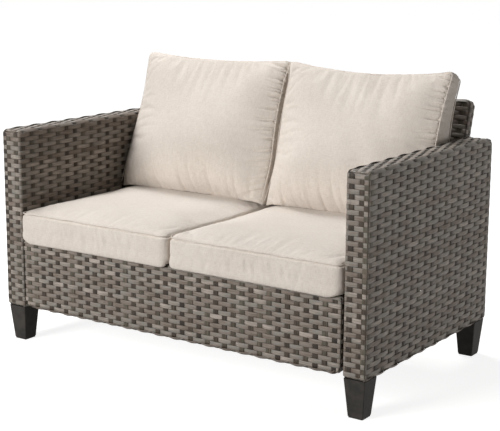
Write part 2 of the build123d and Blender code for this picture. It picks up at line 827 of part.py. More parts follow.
back_cushion_drop = back_cushion_tuck - up_the_cushion(back_low, back_cushion_thickness)
back_front_seam = back_cushion_thickness - back_face_seam
back_front_shoulder = back_cushion_thickness - back_face_shoulder
back_levels = (
    (0, back_cap_inset),
    (back_rear_shoulder, back_shoulder_inset),
    (back_rear_seam, back_seam_inset),
    ((back_rear_seam + back_front_seam) / 2, 0),
    (back_front_seam, back_seam_inset),
    (back_front_shoulder, back_shoulder_inset),
    (back_cushion_thickness, back_cap_inset),
)
base_front_y = on_the_cushion(back_low, back_front_seam).Y
base_rear_y = on_the_cushion(back_low, back_rear_seam).Y
back_zip_plane = Plane(
    origin=(
        cushion_mid_x,
        (base_front_y + base_rear_y) / 2 + back_zip_shift,
        back_low + zip_pocket_depth,
    ),
    x_dir=(1, 0, 0),
    z_dir=(0, 0, -1),
)


def back_form(shrink, mode):
    """The back cushion's whole form, cut flat where it stands on the seat cushion."""
    middle = (back_cap_inset - back_cushion_drop) / 2
    origin = cushion_plane.from_local_coords((cushion_mid_x, middle, 0))
    with BuildPart() as whole:
        crowned_form(
            Plane(origin=origin, x_dir=cushion_plane.x_dir, z_dir=cushion_plane.z_dir),
            cushion_width,
            back_cap_inset + back_cushion_drop,
            back_cushion_radius,
            (back_side_draw, back_top_draw, back_base_draw),
            back_levels,
            shrink,
            Mode.ADD,
        )
        split(bisect_by=Plane.XY.offset(back_low + shrink), keep=Keep.TOP)
    add(whole.part, mode=mode)


write_cushion(back_form, back_zip_plane, "back_cushion", "fill")
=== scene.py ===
import math
from functools import partial

import bmesh
import bpy
import numpy as np
from mathutils import Matrix, Vector


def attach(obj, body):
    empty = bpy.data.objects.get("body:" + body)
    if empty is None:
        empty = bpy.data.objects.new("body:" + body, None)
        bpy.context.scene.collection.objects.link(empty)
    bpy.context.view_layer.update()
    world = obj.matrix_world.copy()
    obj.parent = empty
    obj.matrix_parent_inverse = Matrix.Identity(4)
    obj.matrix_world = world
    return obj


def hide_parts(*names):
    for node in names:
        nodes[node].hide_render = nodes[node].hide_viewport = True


# A two-seat patio loveseat of woven flat strands, with four boxed cushions. Lengths are
# metres, in the row frame: the origin on the floor under the middle, the front facing -Y.

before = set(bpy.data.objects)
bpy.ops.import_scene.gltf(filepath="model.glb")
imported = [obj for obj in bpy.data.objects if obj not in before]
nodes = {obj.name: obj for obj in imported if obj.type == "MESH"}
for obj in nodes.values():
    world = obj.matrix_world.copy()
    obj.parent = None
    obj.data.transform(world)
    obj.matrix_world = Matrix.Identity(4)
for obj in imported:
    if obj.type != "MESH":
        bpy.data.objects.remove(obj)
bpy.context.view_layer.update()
scene = bpy.context.scene
scene.view_settings.view_transform = "Standard"


# Camera: where the photograph was taken from

CAMERA_DISTANCE = 3.8452
CAMERA_AZIMUTH = math.radians(34.64)
CAMERA_ELEVATION = math.radians(11.92)
CAMERA_ROLL = math.radians(0.285)
CAMERA_TARGET = Vector((0.0309, -0.025, 0.4085))
SENSOR_WIDTH = 36.0
FOCAL_PIXELS = 1297.9
IMAGE_PIXELS = 500

toward_camera = Vector(
    (
        math.sin(CAMERA_AZIMUTH) * math.cos(CAMERA_ELEVATION),
        -math.cos(CAMERA_AZIMUTH) * math.cos(CAMERA_ELEVATION),
        math.sin(CAMERA_ELEVATION),
    )
)
camera_data = bpy.data.cameras.new("camera")
camera_data.lens = SENSOR_WIDTH * FOCAL_PIXELS / IMAGE_PIXELS
camera_data.sensor_width = SENSOR_WIDTH
camera = bpy.data.objects.new("camera", camera_data)
scene.collection.objects.link(camera)
scene.camera = camera
aim = toward_camera.to_track_quat("Z", "Y").to_matrix()
roll = Matrix.Rotation(CAMERA_ROLL, 3, "Z")
stand = Matrix.Translation(CAMERA_TARGET + toward_camera * CAMERA_DISTANCE)
camera.matrix_world = stand @ (aim @ roll).to_4x4()


# Sizes of the loveseat, as the solids have them

FRONT = -0.375
ARM_REAR = 0.345
ARM_INNER = 0.560
ARM_OUTER = 0.630
ARM_TOP = 0.650
ARM_BOTTOM = 0.107
PANEL_HALF = 0.558
APRON_REAR = -0.345
APRON_BOTTOM = 0.113
DECK_TOP = 0.320
DECK_REAR = 0.19498
DECK_HALF = 0.557
LEAN = math.radians(16.7)
BACK_THICKNESS = 0.036
BACK_LENGTH = 0.475
BACK_ORIGIN = Vector((0.0, 0.34248, 0.75496))
UP_THE_BACK = Vector((0.0, math.sin(LEAN), math.cos(LEAN)))
OUT_OF_BACK = Vector((0.0, -math.cos(LEAN), math.sin(LEAN)))

# Sizes of the strands

BAND_WIDTH = 0.0135
STAKE_WIDTH = 0.016
STRAP_WIDTH = 0.014
SINK = 0.0020  # from a panel's face to the middle of the weave


# Helpers for nodes, colours and meshes


def colour(code):
    """A linear colour from an sRGB hex code."""
    channels = [int(code[i : i + 2], 16) / 255 for i in (0, 2, 4)]
    linear = [c / 12.92 if c <= 0.04045 else ((c + 0.055) / 1.055) ** 2.4 for c in channels]
    return (*linear, 1.0)


def add_node(tree, kind, inputs=None, stops=(), **settings):
    """Adds a node and returns its outputs. Its inputs are set to values or linked from
    sockets, and a ramp's stops are (place, hex code)."""
    node = tree.nodes.new(kind)
    for key, value in settings.items():
        setattr(node, key, value)
    for key, value in (inputs or {}).items():
        socket = node.inputs[key]
        if isinstance(value, bpy.types.NodeSocket):
            tree.links.new(value, socket)
        else:
            socket.default_value = value
    for place, code in stops[2:]:
        node.color_ramp.elements.new(place)
    for number, (place, code) in enumerate(stops):
        node.color_ramp.elements[number].position = place
        node.color_ramp.elements[number].color = colour(code)
    return node.outputs


def new_material(name):
    """An empty node material, and the helper that adds a node to it."""
    material = bpy.data.materials.new(name)
    material.use_nodes = True
    material.node_tree.nodes.clear()
    return material, partial(add_node, material.node_tree)


def link_object(name, mesh):
    """A new object for a finished mesh."""
    piece = bpy.data.objects.new(name, mesh)
    scene.collection.objects.link(piece)
    return piece


# Materials

PATCH_LENGTH = 0.070  # patches where a strand's two plastics mix differently
STREAK_LENGTH = 0.050
STREAK_WIDTH = 0.003  # drawn this wide, as the real ones of 1 mm are too fine to show
STREAK_RELIEF = 0.0008
STRAND_SHIFT = 53.0  # sets each strand at a place of its own in the noise
BAND_TONES = (
    (0.0, "63574d"),
    (0.25, "776b61"),
    (0.45, "867b72"),
    (0.62, "807e77"),
    (0.8, "968b81"),
    (1.0, "aba097"),
)
# the stakes' own darker brown, deepened further as painted shade of their recess between the
# bulging bands
SHADED_STAKE_TONES = (
    (0.0, "211a15"),
    (0.35, "332a22"),
    (0.6, "473d33"),
    (0.8, "525045"),
    (1.0, "6c5f53"),
)


def pe_rattan(name, tones):
    """Extruded polyethylene rattan: flat, fluted, mottled strands with a low sheen, paler over a
    crossing and darker where they dip under one and along their two edges: painted shade, with a
    little real dust in the dips."""
    material, add = new_material(name)
    tone, along, across, lift = (
        add("ShaderNodeAttribute", attribute_name=label)["Fac"]
        for label in ("tone", "along", "across", "lift")
    )
    shift = add("ShaderNodeMath", {0: tone, 1: STRAND_SHIFT}, operation="MULTIPLY")[0]
    place = add("ShaderNodeCombineXYZ", {"X": along, "Y": shift})[0]
    noise = {"Vector": place, "Scale": 1 / PATCH_LENGTH, "Detail": 2.0}
    patches = add("ShaderNodeTexNoise", noise)["Fac"]
    length = add("ShaderNodeMath", {0: along, 1: 1 / STREAK_LENGTH}, operation="MULTIPLY")[0]
    flutes = {0: across, 1: BAND_WIDTH / STREAK_WIDTH}
    flutes = add("ShaderNodeMath", flutes, operation="MULTIPLY")[0]
    place = add("ShaderNodeCombineXYZ", {"X": length, "Y": flutes, "Z": shift})[0]
    noise = {"Vector": place, "Scale": 1.0, "Detail": 3.0, "Roughness": 0.6}
    streaks = add("ShaderNodeTexNoise", noise)["Fac"]
    mixed = add("ShaderNodeMath", {0: patches, 1: 1.1, 2: tone}, operation="MULTIPLY_ADD")[0]
    mixed = add("ShaderNodeMath", {0: streaks, 1: 1.5, 2: mixed}, operation="MULTIPLY_ADD")[0]
    mixed = add("ShaderNodeMapRange", {"Value": mixed, "From Min": 1.0, "From Max": 2.05})[0]
    base = add("ShaderNodeValToRGB", {"Fac": mixed}, tones)["Color"]
    # painted shade in the dips under the crossings, with a little dust there, and painted shade
    # along the strand's two edges, where the bands meet
    dip = {"Value": lift, "From Min": -0.95, "From Max": 0.0, "To Min": 0.7}
    dip = add("ShaderNodeMapRange", dip, interpolation_type="SMOOTHSTEP")["Result"]
    edge = add("ShaderNodeMath", {0: across}, operation="ABSOLUTE")[0]
    edge = {"Value": edge, "From Min": 0.38, "From Max": 0.5, "To Min": 1.0, "To Max": 0.7}
    edge = add("ShaderNodeMapRange", edge)["Result"]
    # painted shade: the dips and the two edges darken the strand's colour
    painted_shade = add("ShaderNodeMath", {0: dip, 1: edge}, operation="MULTIPLY")[0]
    base = add("ShaderNodeVectorMath", {0: base, "Scale": painted_shade}, operation="SCALE")[0]
    rough = add("ShaderNodeMapRange", {"Value": streaks, "To Min": 0.42, "To Max": 0.62})[0]
    bump = {"Strength": 0.6, "Distance": STREAK_RELIEF, "Height": streaks}
    bump = add("ShaderNodeBump", bump)["Normal"]
    finish = {"Base Color": base, "Roughness": rough, "Normal": bump}
    finish.update({"IOR": 1.51, "Specular IOR Level": 0.22})
    surface = add("ShaderNodeBsdfPrincipled", finish)["BSDF"]
    add("ShaderNodeOutputMaterial", {"Surface": surface})
    return material


THREAD_SPACING = 0.0016  # drawn this far apart, as the real 0.5 mm is too fine to show
THREAD_RELIEF = 0.0008
CLOUD_SIZE = 0.12  # broad uneven shades of the dyed cloth
FABRIC_TONES = ((0.0, "cabfb3"), (0.5, "d8cec4"), (1.0, "e2dad0"))


def linen_look_polyester():
    """Spun polyester in a plain weave with slubs, beige, dull, with a soft sheen."""
    material, add = new_material("linen_look_polyester")
    place = add("ShaderNodeTexCoord")["Object"]
    warp_and_weft = []
    for stretch in ((1.0, 0.12, 0.12), (0.12, 1.0, 1.0)):
        drawn = add("ShaderNodeVectorMath", {0: place, 1: stretch}, operation="MULTIPLY")[0]
        noise = {"Vector": drawn, "Scale": 1 / THREAD_SPACING, "Detail": 2.0}
        warp_and_weft.append(add("ShaderNodeTexNoise", noise)["Fac"])
    threads = add("ShaderNodeMath", dict(enumerate(warp_and_weft)), operation="ADD")[0]
    clouds = add("ShaderNodeTexNoise", {"Vector": place, "Scale": 1 / CLOUD_SIZE})["Fac"]
    mixed = add("ShaderNodeMath", {0: clouds, 1: 0.5, 2: threads}, operation="MULTIPLY_ADD")[0]
    mixed = add("ShaderNodeMapRange", {"Value": mixed, "From Min": 0.8, "From Max": 1.7})[0]
    base = add("ShaderNodeValToRGB", {"Fac": mixed}, FABRIC_TONES)["Color"]
    bump = {"Strength": 0.35, "Distance": THREAD_RELIEF, "Height": threads}
    bump = add("ShaderNodeBump", bump)["Normal"]
    finish = {"Base Color": base, "Roughness": 0.92, "Normal": bump}
    finish.update({"Sheen Weight": 0.15, "Sheen Roughness": 0.6})
    surface = add("ShaderNodeBsdfPrincipled", finish)["BSDF"]
    add("ShaderNodeOutputMaterial", {"Surface": surface})
    return material


def mottled(name, tones, grain, roughness, relief, strength, sockets=None):
    """A finish with a fine grain and a broad mottle: its tones, grain size, roughness range,
    the depth and strength of its bump, and what else is set on the shader."""
    material, add = new_material(name)
    place = add("ShaderNodeTexCoord")["Object"]
    fine, broad = (
        add("ShaderNodeTexNoise", {"Vector": place, "Scale": 1 / size, "Detail": detail})["Fac"]
        for size, detail in ((grain, 3.0), (grain * 30, 2.0))
    )
    rough = {"Value": broad, "To Min": roughness[0], "To Max": roughness[1]}
    rough = add("ShaderNodeMapRange", rough)["Result"]
    bump = {"Strength": strength, "Distance": relief, "Height": fine}
    bump = add("ShaderNodeBump", bump)["Normal"]
    base = add("ShaderNodeValToRGB", {"Fac": broad}, tones)["Color"]
    finish = {"Base Color": base, "Roughness": rough, "Normal": bump, **(sockets or {})}
    surface = add("ShaderNodeBsdfPrincipled", finish)["BSDF"]
    add("ShaderNodeOutputMaterial", {"Surface": surface})
    return material


band_rattan = pe_rattan("pe_rattan_band", BAND_TONES)
# the stakes' tones hold painted shade of their recess as well as their own darker brown
shaded_stake_rattan = pe_rattan("pe_rattan_stake_shaded", SHADED_STAKE_TONES)
fabric = linen_look_polyester()
# polyester powder coat on steel tube: satin black with a fine orange-peel skin
powder_coat_tones = ((0.3, "16161a"), (0.7, "232326"))
powder_coat = mottled(
    "black_powder_coat", powder_coat_tones, 0.0022, (0.4, 0.55), 0.0002, 0.5
)
# moulded polypropylene: matte dark grey-brown with a spark-eroded grain
plastic_tones = ((0.3, "343230"), (0.7, "44413d"))
moulded_plastic = mottled(
    "moulded_polypropylene",
    plastic_tones,
    0.0009,
    (0.5, 0.65),
    0.00015,
    0.6,
    {"Specular IOR Level": 0.08},
)
# bright zinc-plated steel: cool grey metal with drawing marks
zinc_tones = ((0.3, "9aa0a6"), (0.7, "b9bec2"))
zinc_plate = mottled(
    "zinc_plated_steel", zinc_tones, 0.0012, (0.25, 0.42), 0.00008, 0.4, {"Metallic": 1.0}
)
# woven polyester zip tape, ribbed and dull, in the colour of the cover
tape_tones = ((0.3, "b9ae9d"), (0.7, "cfc5b5"))
zip_tape = mottled("woven_zip_tape", tape_tones, 0.0011, (0.8, 0.95), 0.0003, 0.8)
# die-cast zinc slider: warm grey metal with a soft shine under clear lacquer
slider_tones = ((0.3, "8b8780"), (0.7, "a7a39b"))
zip_metal = mottled(
    "cast_zinc_slider", slider_tones, 0.0008, (0.3, 0.5), 0.00006, 0.5, {"Metallic": 1.0}
)


# The strand tree: it waves each guide line over and under, then sweeps a strand along it

WANDER_LENGTH = 0.07  # over which a strand strays from its line and back
FLAT_SHARE = 0.82  # how much of a strand's width its flat face takes, between thin edges


def strand_tree():
    """Builds the tree, with its sizes as named inputs."""
    tree = bpy.data.node_groups.new("woven_strands", "GeometryNodeTree")
    face = tree.interface
    for label, kind in (
        ("Guides", "Geometry"),
        ("Strand Width", "Float"),
        ("Strand Thickness", "Float"),
        ("Wave Height", "Float"),
        ("Unevenness", "Float"),
        ("Lowest Tone", "Float"),
        ("Highest Tone", "Float"),
        ("Seed", "Int"),
        ("Finish", "Material"),
    ):
        face.new_socket(label, in_out="INPUT", socket_type="NodeSocket" + kind)
    face.new_socket("Strands", in_out="OUTPUT", socket_type="NodeSocketGeometry")
    add = partial(add_node, tree)
    given = add("NodeGroupInput")
    at_points = {"data_type": "FLOAT", "domain": "POINT"}
    read = {
        label: add("GeometryNodeInputNamedAttribute", {"Name": label}, data_type=kind)["Attribute"]
        for label, kind in (
            ("outward", "FLOAT_VECTOR"),
            ("beat", "FLOAT"),
            ("reach", "FLOAT"),
            ("strand", "FLOAT"),
            ("broad", "FLOAT"),
        )
    }
    lines = add("GeometryNodeMeshToCurve", {"Mesh": given["Guides"]})["Curve"]
    facing = {"Curve": lines, "Normal": read["outward"]}
    lines = add("GeometryNodeSetCurveNormal", facing, mode="FREE")["Curve"]
    # over and under, one half turn for each crossing
    wave = add("ShaderNodeMath", {0: read["beat"], 1: math.pi}, operation="MULTIPLY")[0]
    wave = add("ShaderNodeMath", {0: wave}, operation="COSINE")[0]
    kept = {"Geometry": lines, "Name": "lift", "Value": wave}
    lines = add("GeometryNodeStoreNamedAttribute", kept, **at_points)["Geometry"]
    for share in (read["reach"], given["Wave Height"]):
        wave = add("ShaderNodeMath", {0: wave, 1: share}, operation="MULTIPLY")[0]
    lift = {"Vector": read["outward"], "Scale": wave}
    lift = add("ShaderNodeVectorMath", lift, operation="SCALE")[0]
    # the hand of the weaver: each strand wanders a little, its own way
    noise = {"Vector": add("GeometryNodeInputPosition")[0], "W": read["strand"]}
    noise.update({"Scale": 1 / WANDER_LENGTH, "Detail": 1.0})
    wander = add("ShaderNodeTexNoise", noise, noise_dimensions="4D")["Color"]
    wander = {0: wander, 1: (0.5, 0.5, 0.5)}
    wander = add("ShaderNodeVectorMath", wander, operation="SUBTRACT")[0]
    wander = {"Vector": wander, "Scale": given["Unevenness"]}
    wander = add("ShaderNodeVectorMath", wander, operation="SCALE")[0]
    moved = add("ShaderNodeVectorMath", {0: lift, 1: wander}, operation="ADD")[0]
    lines = add("GeometryNodeSetPosition", {"Geometry": lines, "Offset": moved})["Geometry"]
    broad = {"Curve": lines, "Radius": read["broad"]}
    lines = add("GeometryNodeSetCurveRadius", broad)["Curve"]
    chance = {"ID": read["strand"], "Seed": given["Seed"]}
    chance.update({2: given["Lowest Tone"], 3: given["Highest Tone"]})
    tone = add("FunctionNodeRandomValue", chance, data_type="FLOAT")[1]
    kept = {"Geometry": lines, "Name": "tone", "Value": tone}
    lines = add("GeometryNodeStoreNamedAttribute", kept, **at_points)["Geometry"]
    # the strand's cross-section: a flat hexagon, its normal side first
    circle = {"Resolution": 6, "Radius": 0.5}
    section = add("GeometryNodeCurvePrimitiveCircle", circle)["Curve"]
    parts = add("ShaderNodeSeparateXYZ", {0: add("GeometryNodeInputPosition")[0]})
    side = {0: parts["X"], 1: 2 * FLAT_SHARE}
    side = add("ShaderNodeMath", side, operation="MULTIPLY")[0]
    side = add("ShaderNodeClamp", {"Value": side, "Min": -0.5, "Max": 0.5})[0]
    kept = {"Geometry": section, "Name": "across", "Value": side}
    section = add("GeometryNodeStoreNamedAttribute", kept, **at_points)["Geometry"]
    thick = {0: parts["Y"], 1: given["Strand Thickness"]}
    thick = add("ShaderNodeMath", thick, operation="MULTIPLY")[0]
    thick = add("ShaderNodeMath", {0: thick, 1: math.sqrt(3) / 2}, operation="DIVIDE")[0]
    wide = add("ShaderNodeMath", {0: side, 1: given["Strand Width"]}, operation="MULTIPLY")[0]
    flattened = add("ShaderNodeCombineXYZ", {"X": thick, "Y": wide})[0]
    flattened = {"Geometry": section, "Position": flattened}
    section = add("GeometryNodeSetPosition", flattened)["Geometry"]
    swept = {"Curve": lines, "Profile Curve": section, "Fill Caps": True}
    swept = add("GeometryNodeCurveToMesh", swept)["Mesh"]
    swept = {"Geometry": swept, "Shade Smooth": True}
    swept = add("GeometryNodeSetShadeSmooth", swept)["Geometry"]
    swept = add("GeometryNodeRealizeInstances", {"Geometry": swept})["Geometry"]
    swept = {"Geometry": swept, "Material": given["Finish"]}
    swept = add("GeometryNodeSetMaterial", swept)["Geometry"]
    add("NodeGroupOutput", {"Strands": swept})
    return tree


STRANDS = strand_tree()


def grow(name, guide, tree, settings):
    """Runs a tree on a guide mesh and returns the plain mesh object that it makes."""
    worker = link_object(name + "_guide", guide)
    modifier = worker.modifiers.new("grow", "NODES")
    modifier.node_group = tree
    for socket in tree.interface.items_tree:
        if socket.in_out == "INPUT" and socket.name in settings:
            modifier[socket.identifier] = settings[socket.name]
    bpy.context.view_layer.update()
    evaluated = worker.evaluated_get(bpy.context.evaluated_depsgraph_get())
    mesh = bpy.data.meshes.new_from_object(evaluated)
    mesh.name = name
    bpy.data.objects.remove(worker)
    return link_object(name, mesh)


def guide_mesh(strands, place):
    """One mesh of guide lines, placed by a matrix, with what the strand tree reads."""
    mesh = bpy.data.meshes.new("guides")
    points, edges, outward = [], [], []
    values = {"beat": [], "reach": [], "along": [], "broad": [], "strand": []}
    for number, strand in enumerate(strands):
        first = len(points)
        count = len(strand["points"])
        points.extend(strand["points"].tolist())
        outward.extend(strand["outward"].tolist())
        steps = np.linalg.norm(np.diff(strand["points"], axis=0), axis=1)
        values["along"].extend(np.concatenate(([0], np.cumsum(steps))).tolist())
        values["beat"].extend(strand["beats"].tolist())
        values["reach"].extend(strand["reach"].tolist())
        values["broad"].extend([strand["broad"]] * count)
        values["strand"].extend([number] * count)
        edges.extend((first + i, first + i + 1) for i in range(count - 1))
        if strand["closed"]:
            edges.append((first + count - 1, first))
    mesh.from_pydata(points, edges, [])
    for name, numbers in values.items():
        kind = "INT" if name == "strand" else "FLOAT"
        mesh.attributes.new(name, kind, "POINT").data.foreach_set("value", numbers)
    mesh.transform(place)
    turned = (np.asarray(outward) @ np.array(place.to_3x3()).T).astype(np.float32)
    facing = mesh.attributes.new("outward", "FLOAT_VECTOR", "POINT")
    facing.data.foreach_set("vector", turned.ravel())
    return mesh


def strand_line(points, outward, beats, reach, broad=1.0, closed=False):
    """What guide_mesh needs to know of a strand."""
    return {
        "points": points,
        "outward": outward,
        "beats": beats,
        "reach": reach,
        "broad": broad,
        "closed": closed,
    }


# Woven panels: rings of bands round a panel, loops of stakes over it, and edge strands

BAND_STEPS = 6  # points on a band from one stake to the next
STAKE_STEPS = 4
CORNER_POINTS = 9
FULL_WAVE_GAP = 0.028  # crossings nearer than this wave less
LEAST_WAVE_SHARE = 0.35
TUCK_RUN = 0.009  # the last of a strand, which dives into the panel
BAND_TUCK = 0.0035
STAKE_TUCK = 0.003
CALM_RUN = 0.012  # over which a strand's wave dies out before its end
OVERRUN_SHARE = 0.8  # how far an end stake runs past the outer rows, in rows


def rounded_loop(width, depth, radius):
    """A rounded rectangle's points, outward directions and distances, from the middle of
    its low side, turning towards +first axis."""
    half_w, half_d = width / 2 - radius, depth / 2 - radius
    corners = (
        (half_w, -half_d, -90),
        (half_w, half_d, 0),
        (-half_w, half_d, 90),
        (-half_w, -half_d, 180),
    )
    points, normals = [(0.0, -depth / 2)], [(0.0, -1.0)]
    for x, y, start in corners:
        for angle in np.radians(np.linspace(start, start + 90, CORNER_POINTS)):
            direction = (math.cos(angle), math.sin(angle))
            points.append((x + radius * direction[0], y + radius * direction[1]))
            normals.append(direction)
    points.append(points[0])
    normals.append(normals[0])
    return measured(points, normals)


def measured(points, normals):
    """A line as arrays of its points, outward directions and distances from its start."""
    points, normals = np.array(points), np.array(normals)
    steps = np.linalg.norm(np.diff(points, axis=0), axis=1)
    return points, normals, np.concatenate(([0], np.cumsum(steps)))


def on_line(line, distances):
    """Points and unit directions at distances along a line, which may wrap round."""
    points, normals, lengths = line
    wrapped = np.mod(distances, lengths[-1])
    place = np.stack([np.interp(wrapped, lengths, c) for c in points.T], axis=1)
    facing = np.stack([np.interp(wrapped, lengths, c) for c in normals.T], axis=1)
    return place, facing / np.linalg.norm(facing, axis=1)[:, None]


def corner_inset(radius, depth):
    """How far a rounded corner pulls in an edge at that depth below its end."""
    drop = max(radius - depth, 0.0)
    return radius - math.sqrt(max(radius * radius - drop * drop, 0.0))


def sampled(crossings, steps, closed):
    """Beats and distances along a strand, from the distance of each crossing."""
    count = len(crossings) - 1
    beats = np.arange(count * steps + (0 if closed else 1)) / steps
    distances = np.interp(beats, np.arange(count + 1), crossings)
    gaps = np.diff(crossings)
    if closed:
        nearest = np.minimum(gaps, np.roll(gaps, 1))
        nearest = np.append(nearest, nearest[0])
    else:
        nearest = np.minimum(np.append(gaps, gaps[-1]), np.insert(gaps, 0, gaps[0]))
    shares = np.clip(nearest / FULL_WAVE_GAP, LEAST_WAVE_SHARE, 1.0)
    return beats, distances, np.interp(beats, np.arange(count + 1), shares)


def tucked(from_end, depth):
    """How deep a strand dives into its panel near its end."""
    return depth * np.clip(1 - from_end / TUCK_RUN, 0, 1) ** 2


class Panel:
    """A slab woven all round: rows of bands, flats on its top and bottom, and stakes."""

    def __init__(self, start, end, low, high, thickness, edge, corners, rows, flats,
                 stakes, end_stakes, end_shares):
        self.start, self.end, self.low, self.high = start, end, low, high
        self.thickness, self.edge, self.corners = thickness, edge, corners
        self.rows, self.flats, self.stakes = rows, flats, np.asarray(stakes)
        self.end_stakes, self.end_shares = end_stakes, end_shares
        self.pitch = (high - low - 2 * edge) / rows
        self.row_heights = low + edge + self.pitch * (np.arange(rows) + 0.5)
        self.flat_width = (thickness - 2 * edge) / flats
        self.flat_places = ((flats - 1) / 2 - np.arange(flats)) * self.flat_width
        self.near_side = len(end_stakes)
        self.side = thickness - 2 * SINK
        self.radius = edge - SINK
        self.quarter = math.pi / 2 * self.radius
        self.flat = self.side / 2 - self.radius

    def ends_at(self, height):
        """Where the panel starts and ends at a height, inside its rounded corners."""
        low_start, low_end, high_end, high_start = self.corners
        below, above = height - self.low, self.high - height
        start = max(corner_inset(low_start, below), corner_inset(high_start, above))
        end = max(corner_inset(low_end, below), corner_inset(high_end, above))
        return self.start + start, self.end - end

    def heights_at(self, place):
        """The panel's lowest and highest edge at a place along it."""
        low_start, low_end, high_end, high_start = self.corners
        before, after = place - self.start, self.end - place
        low = max(corner_inset(low_start, before), corner_inset(low_end, after))
        high = max(corner_inset(high_start, before), corner_inset(high_end, after))
        return self.low + low, self.high - high

    def bands(self):
        """The rows, each a closed ring round the panel."""
        strands = []
        radius, quarter, flat = self.radius, self.quarter, self.flat
        for row, height in enumerate(self.row_heights):
            start, end = self.ends_at(height)
            start, end = start + SINK, end - SINK
            line = rounded_loop(self.side, end - start, radius)
            run = end - start - 2 * radius
            crossings = [flat + quarter + u - start - radius for u in self.stakes]
            far = [2 * flat + 2 * quarter + run - v for v in self.end_stakes[::-1]]
            beyond = 3 * flat + 3 * quarter + run
            back = [beyond + end - radius - u for u in self.stakes[::-1]]
            crossings = [*self.end_stakes, *crossings, *far, *back]
            crossings = np.array(crossings + [crossings[0] + line[2][-1]])
            beats, distances, reach = sampled(crossings, BAND_STEPS, True)
            place, facing = on_line(line, distances)
            level = np.full(len(beats), height)
            points = np.column_stack((place[:, 1] + (start + end) / 2, place[:, 0], level))
            outward = np.column_stack((facing[:, 1], facing[:, 0], np.zeros(len(beats))))
            strands.append(strand_line(points, outward, beats + row, reach, closed=True))
        return strands

    def lengthwise(self, depth, top):
        """A line over the top or bottom at a depth, from corner to corner of the panel."""
        low_start, low_end, high_end, high_start = self.corners
        near_end, far_end = (high_start, high_end) if top else (low_start, low_end)
        rise = 1.0 if top else -1.0
        level = self.high - depth if top else self.low + depth
        points, normals = [], []
        for radius, centre, sign in (
            (near_end, self.start + near_end, -1.0),
            (far_end, self.end - far_end, 1.0),
        ):
            if radius <= self.edge:
                points.append((centre + sign * radius - sign * SINK, level))
                normals.append((0.0, rise))
                continue
            angles = np.linspace(
                math.asin((radius - self.edge) / radius), math.pi / 2, CORNER_POINTS
            )
            swing = max(radius - depth, 0.0)
            for angle in angles if sign < 0 else angles[::-1]:
                cos, sin = math.cos(angle), math.sin(angle)
                height = level - rise * swing + rise * swing * sin
                points.append((centre + sign * swing * cos, height))
                normals.append((sign * cos, rise * sin))
        return measured(points, normals)

    def edge_strands(self):
        """The strands that run lengthwise over the top and bottom, and along their edges."""
        strands = []
        rim = self.radius * (1 - math.sqrt(0.5))
        across = self.thickness / 2 - SINK - rim
        rim_broad = math.pi / 2 * self.edge / self.pitch
        broad = self.flat_width / self.pitch
        lanes = [(across, rim, rim_broad, 1)]
        lanes += [(v, 0.0, broad, 0) for v in self.flat_places]
        lanes += [(-across, rim, rim_broad, -1)]
        for top in (True, False):
            first = self.rows if top else 2 * self.rows + self.flats + 2
            for lane, (v, inset, width, tilt) in enumerate(lanes if top else lanes[::-1]):
                line = self.lengthwise(SINK + inset, top)
                points, normals, lengths = line
                straight = np.abs(normals[:, 1]) > 0.999
                at_stakes = np.interp(self.stakes, points[straight, 0], lengths[straight])
                crossings = np.concatenate(([0], at_stakes, [lengths[-1]]))
                beats, distances, reach = sampled(crossings, BAND_STEPS, False)
                place, facing = on_line(line, np.minimum(distances, lengths[-1] - 1e-7))
                from_end = np.minimum(distances, lengths[-1] - distances)
                place = place - facing * tucked(from_end, BAND_TUCK)[:, None]
                tilts = np.full(len(beats), float(tilt))
                outward = np.column_stack((facing[:, 0], tilts, facing[:, 1]))
                outward /= np.linalg.norm(outward, axis=1)[:, None]
                sides = np.full(len(beats), v)
                placed = np.column_stack((place[:, 0], sides, place[:, 1]))
                beats = beats - 1 + self.near_side + first + lane
                reach = reach * np.clip(from_end / CALM_RUN, 0, 1)
                strands.append(strand_line(placed, outward, beats, reach, width))
        return strands

    def stake_loops(self):
        """The stakes that go round the panel's section, between its two ends."""
        strands = []
        radius, quarter, flat = self.radius, self.quarter, self.flat
        for number, u in enumerate(self.stakes):
            low, high = self.heights_at(u)
            low, high = low + SINK, high - SINK
            line = rounded_loop(self.side, high - low, radius)
            run = high - low - 2 * radius
            beyond = 3 * flat + 3 * quarter + run
            total = line[2][-1]
            crossings = [flat + quarter + w - low - radius for w in self.row_heights]
            crossings += [flat + 1.5 * quarter + run]
            crossings += [2 * flat + 2 * quarter + run - v for v in self.flat_places]
            crossings += [beyond - quarter / 2]
            crossings += [beyond + high - radius - w for w in self.row_heights[::-1]]
            crossings += [total - flat - quarter / 2]
            crossings += [total + v for v in self.flat_places[::-1]]
            crossings += [total + flat + quarter / 2]
            crossings = np.array(crossings + [crossings[0] + total])
            beats, distances, _ = sampled(crossings, STAKE_STEPS, True)
            place, facing = on_line(line, distances)
            count = len(beats)
            points = np.column_stack(
                (np.full(count, u), place[:, 0], place[:, 1] + (low + high) / 2)
            )
            outward = np.column_stack((np.zeros(count), facing[:, 0], facing[:, 1]))
            beats = beats + self.near_side + number + 1
            strands.append(strand_line(points, outward, beats, np.ones(count), closed=True))
        return strands

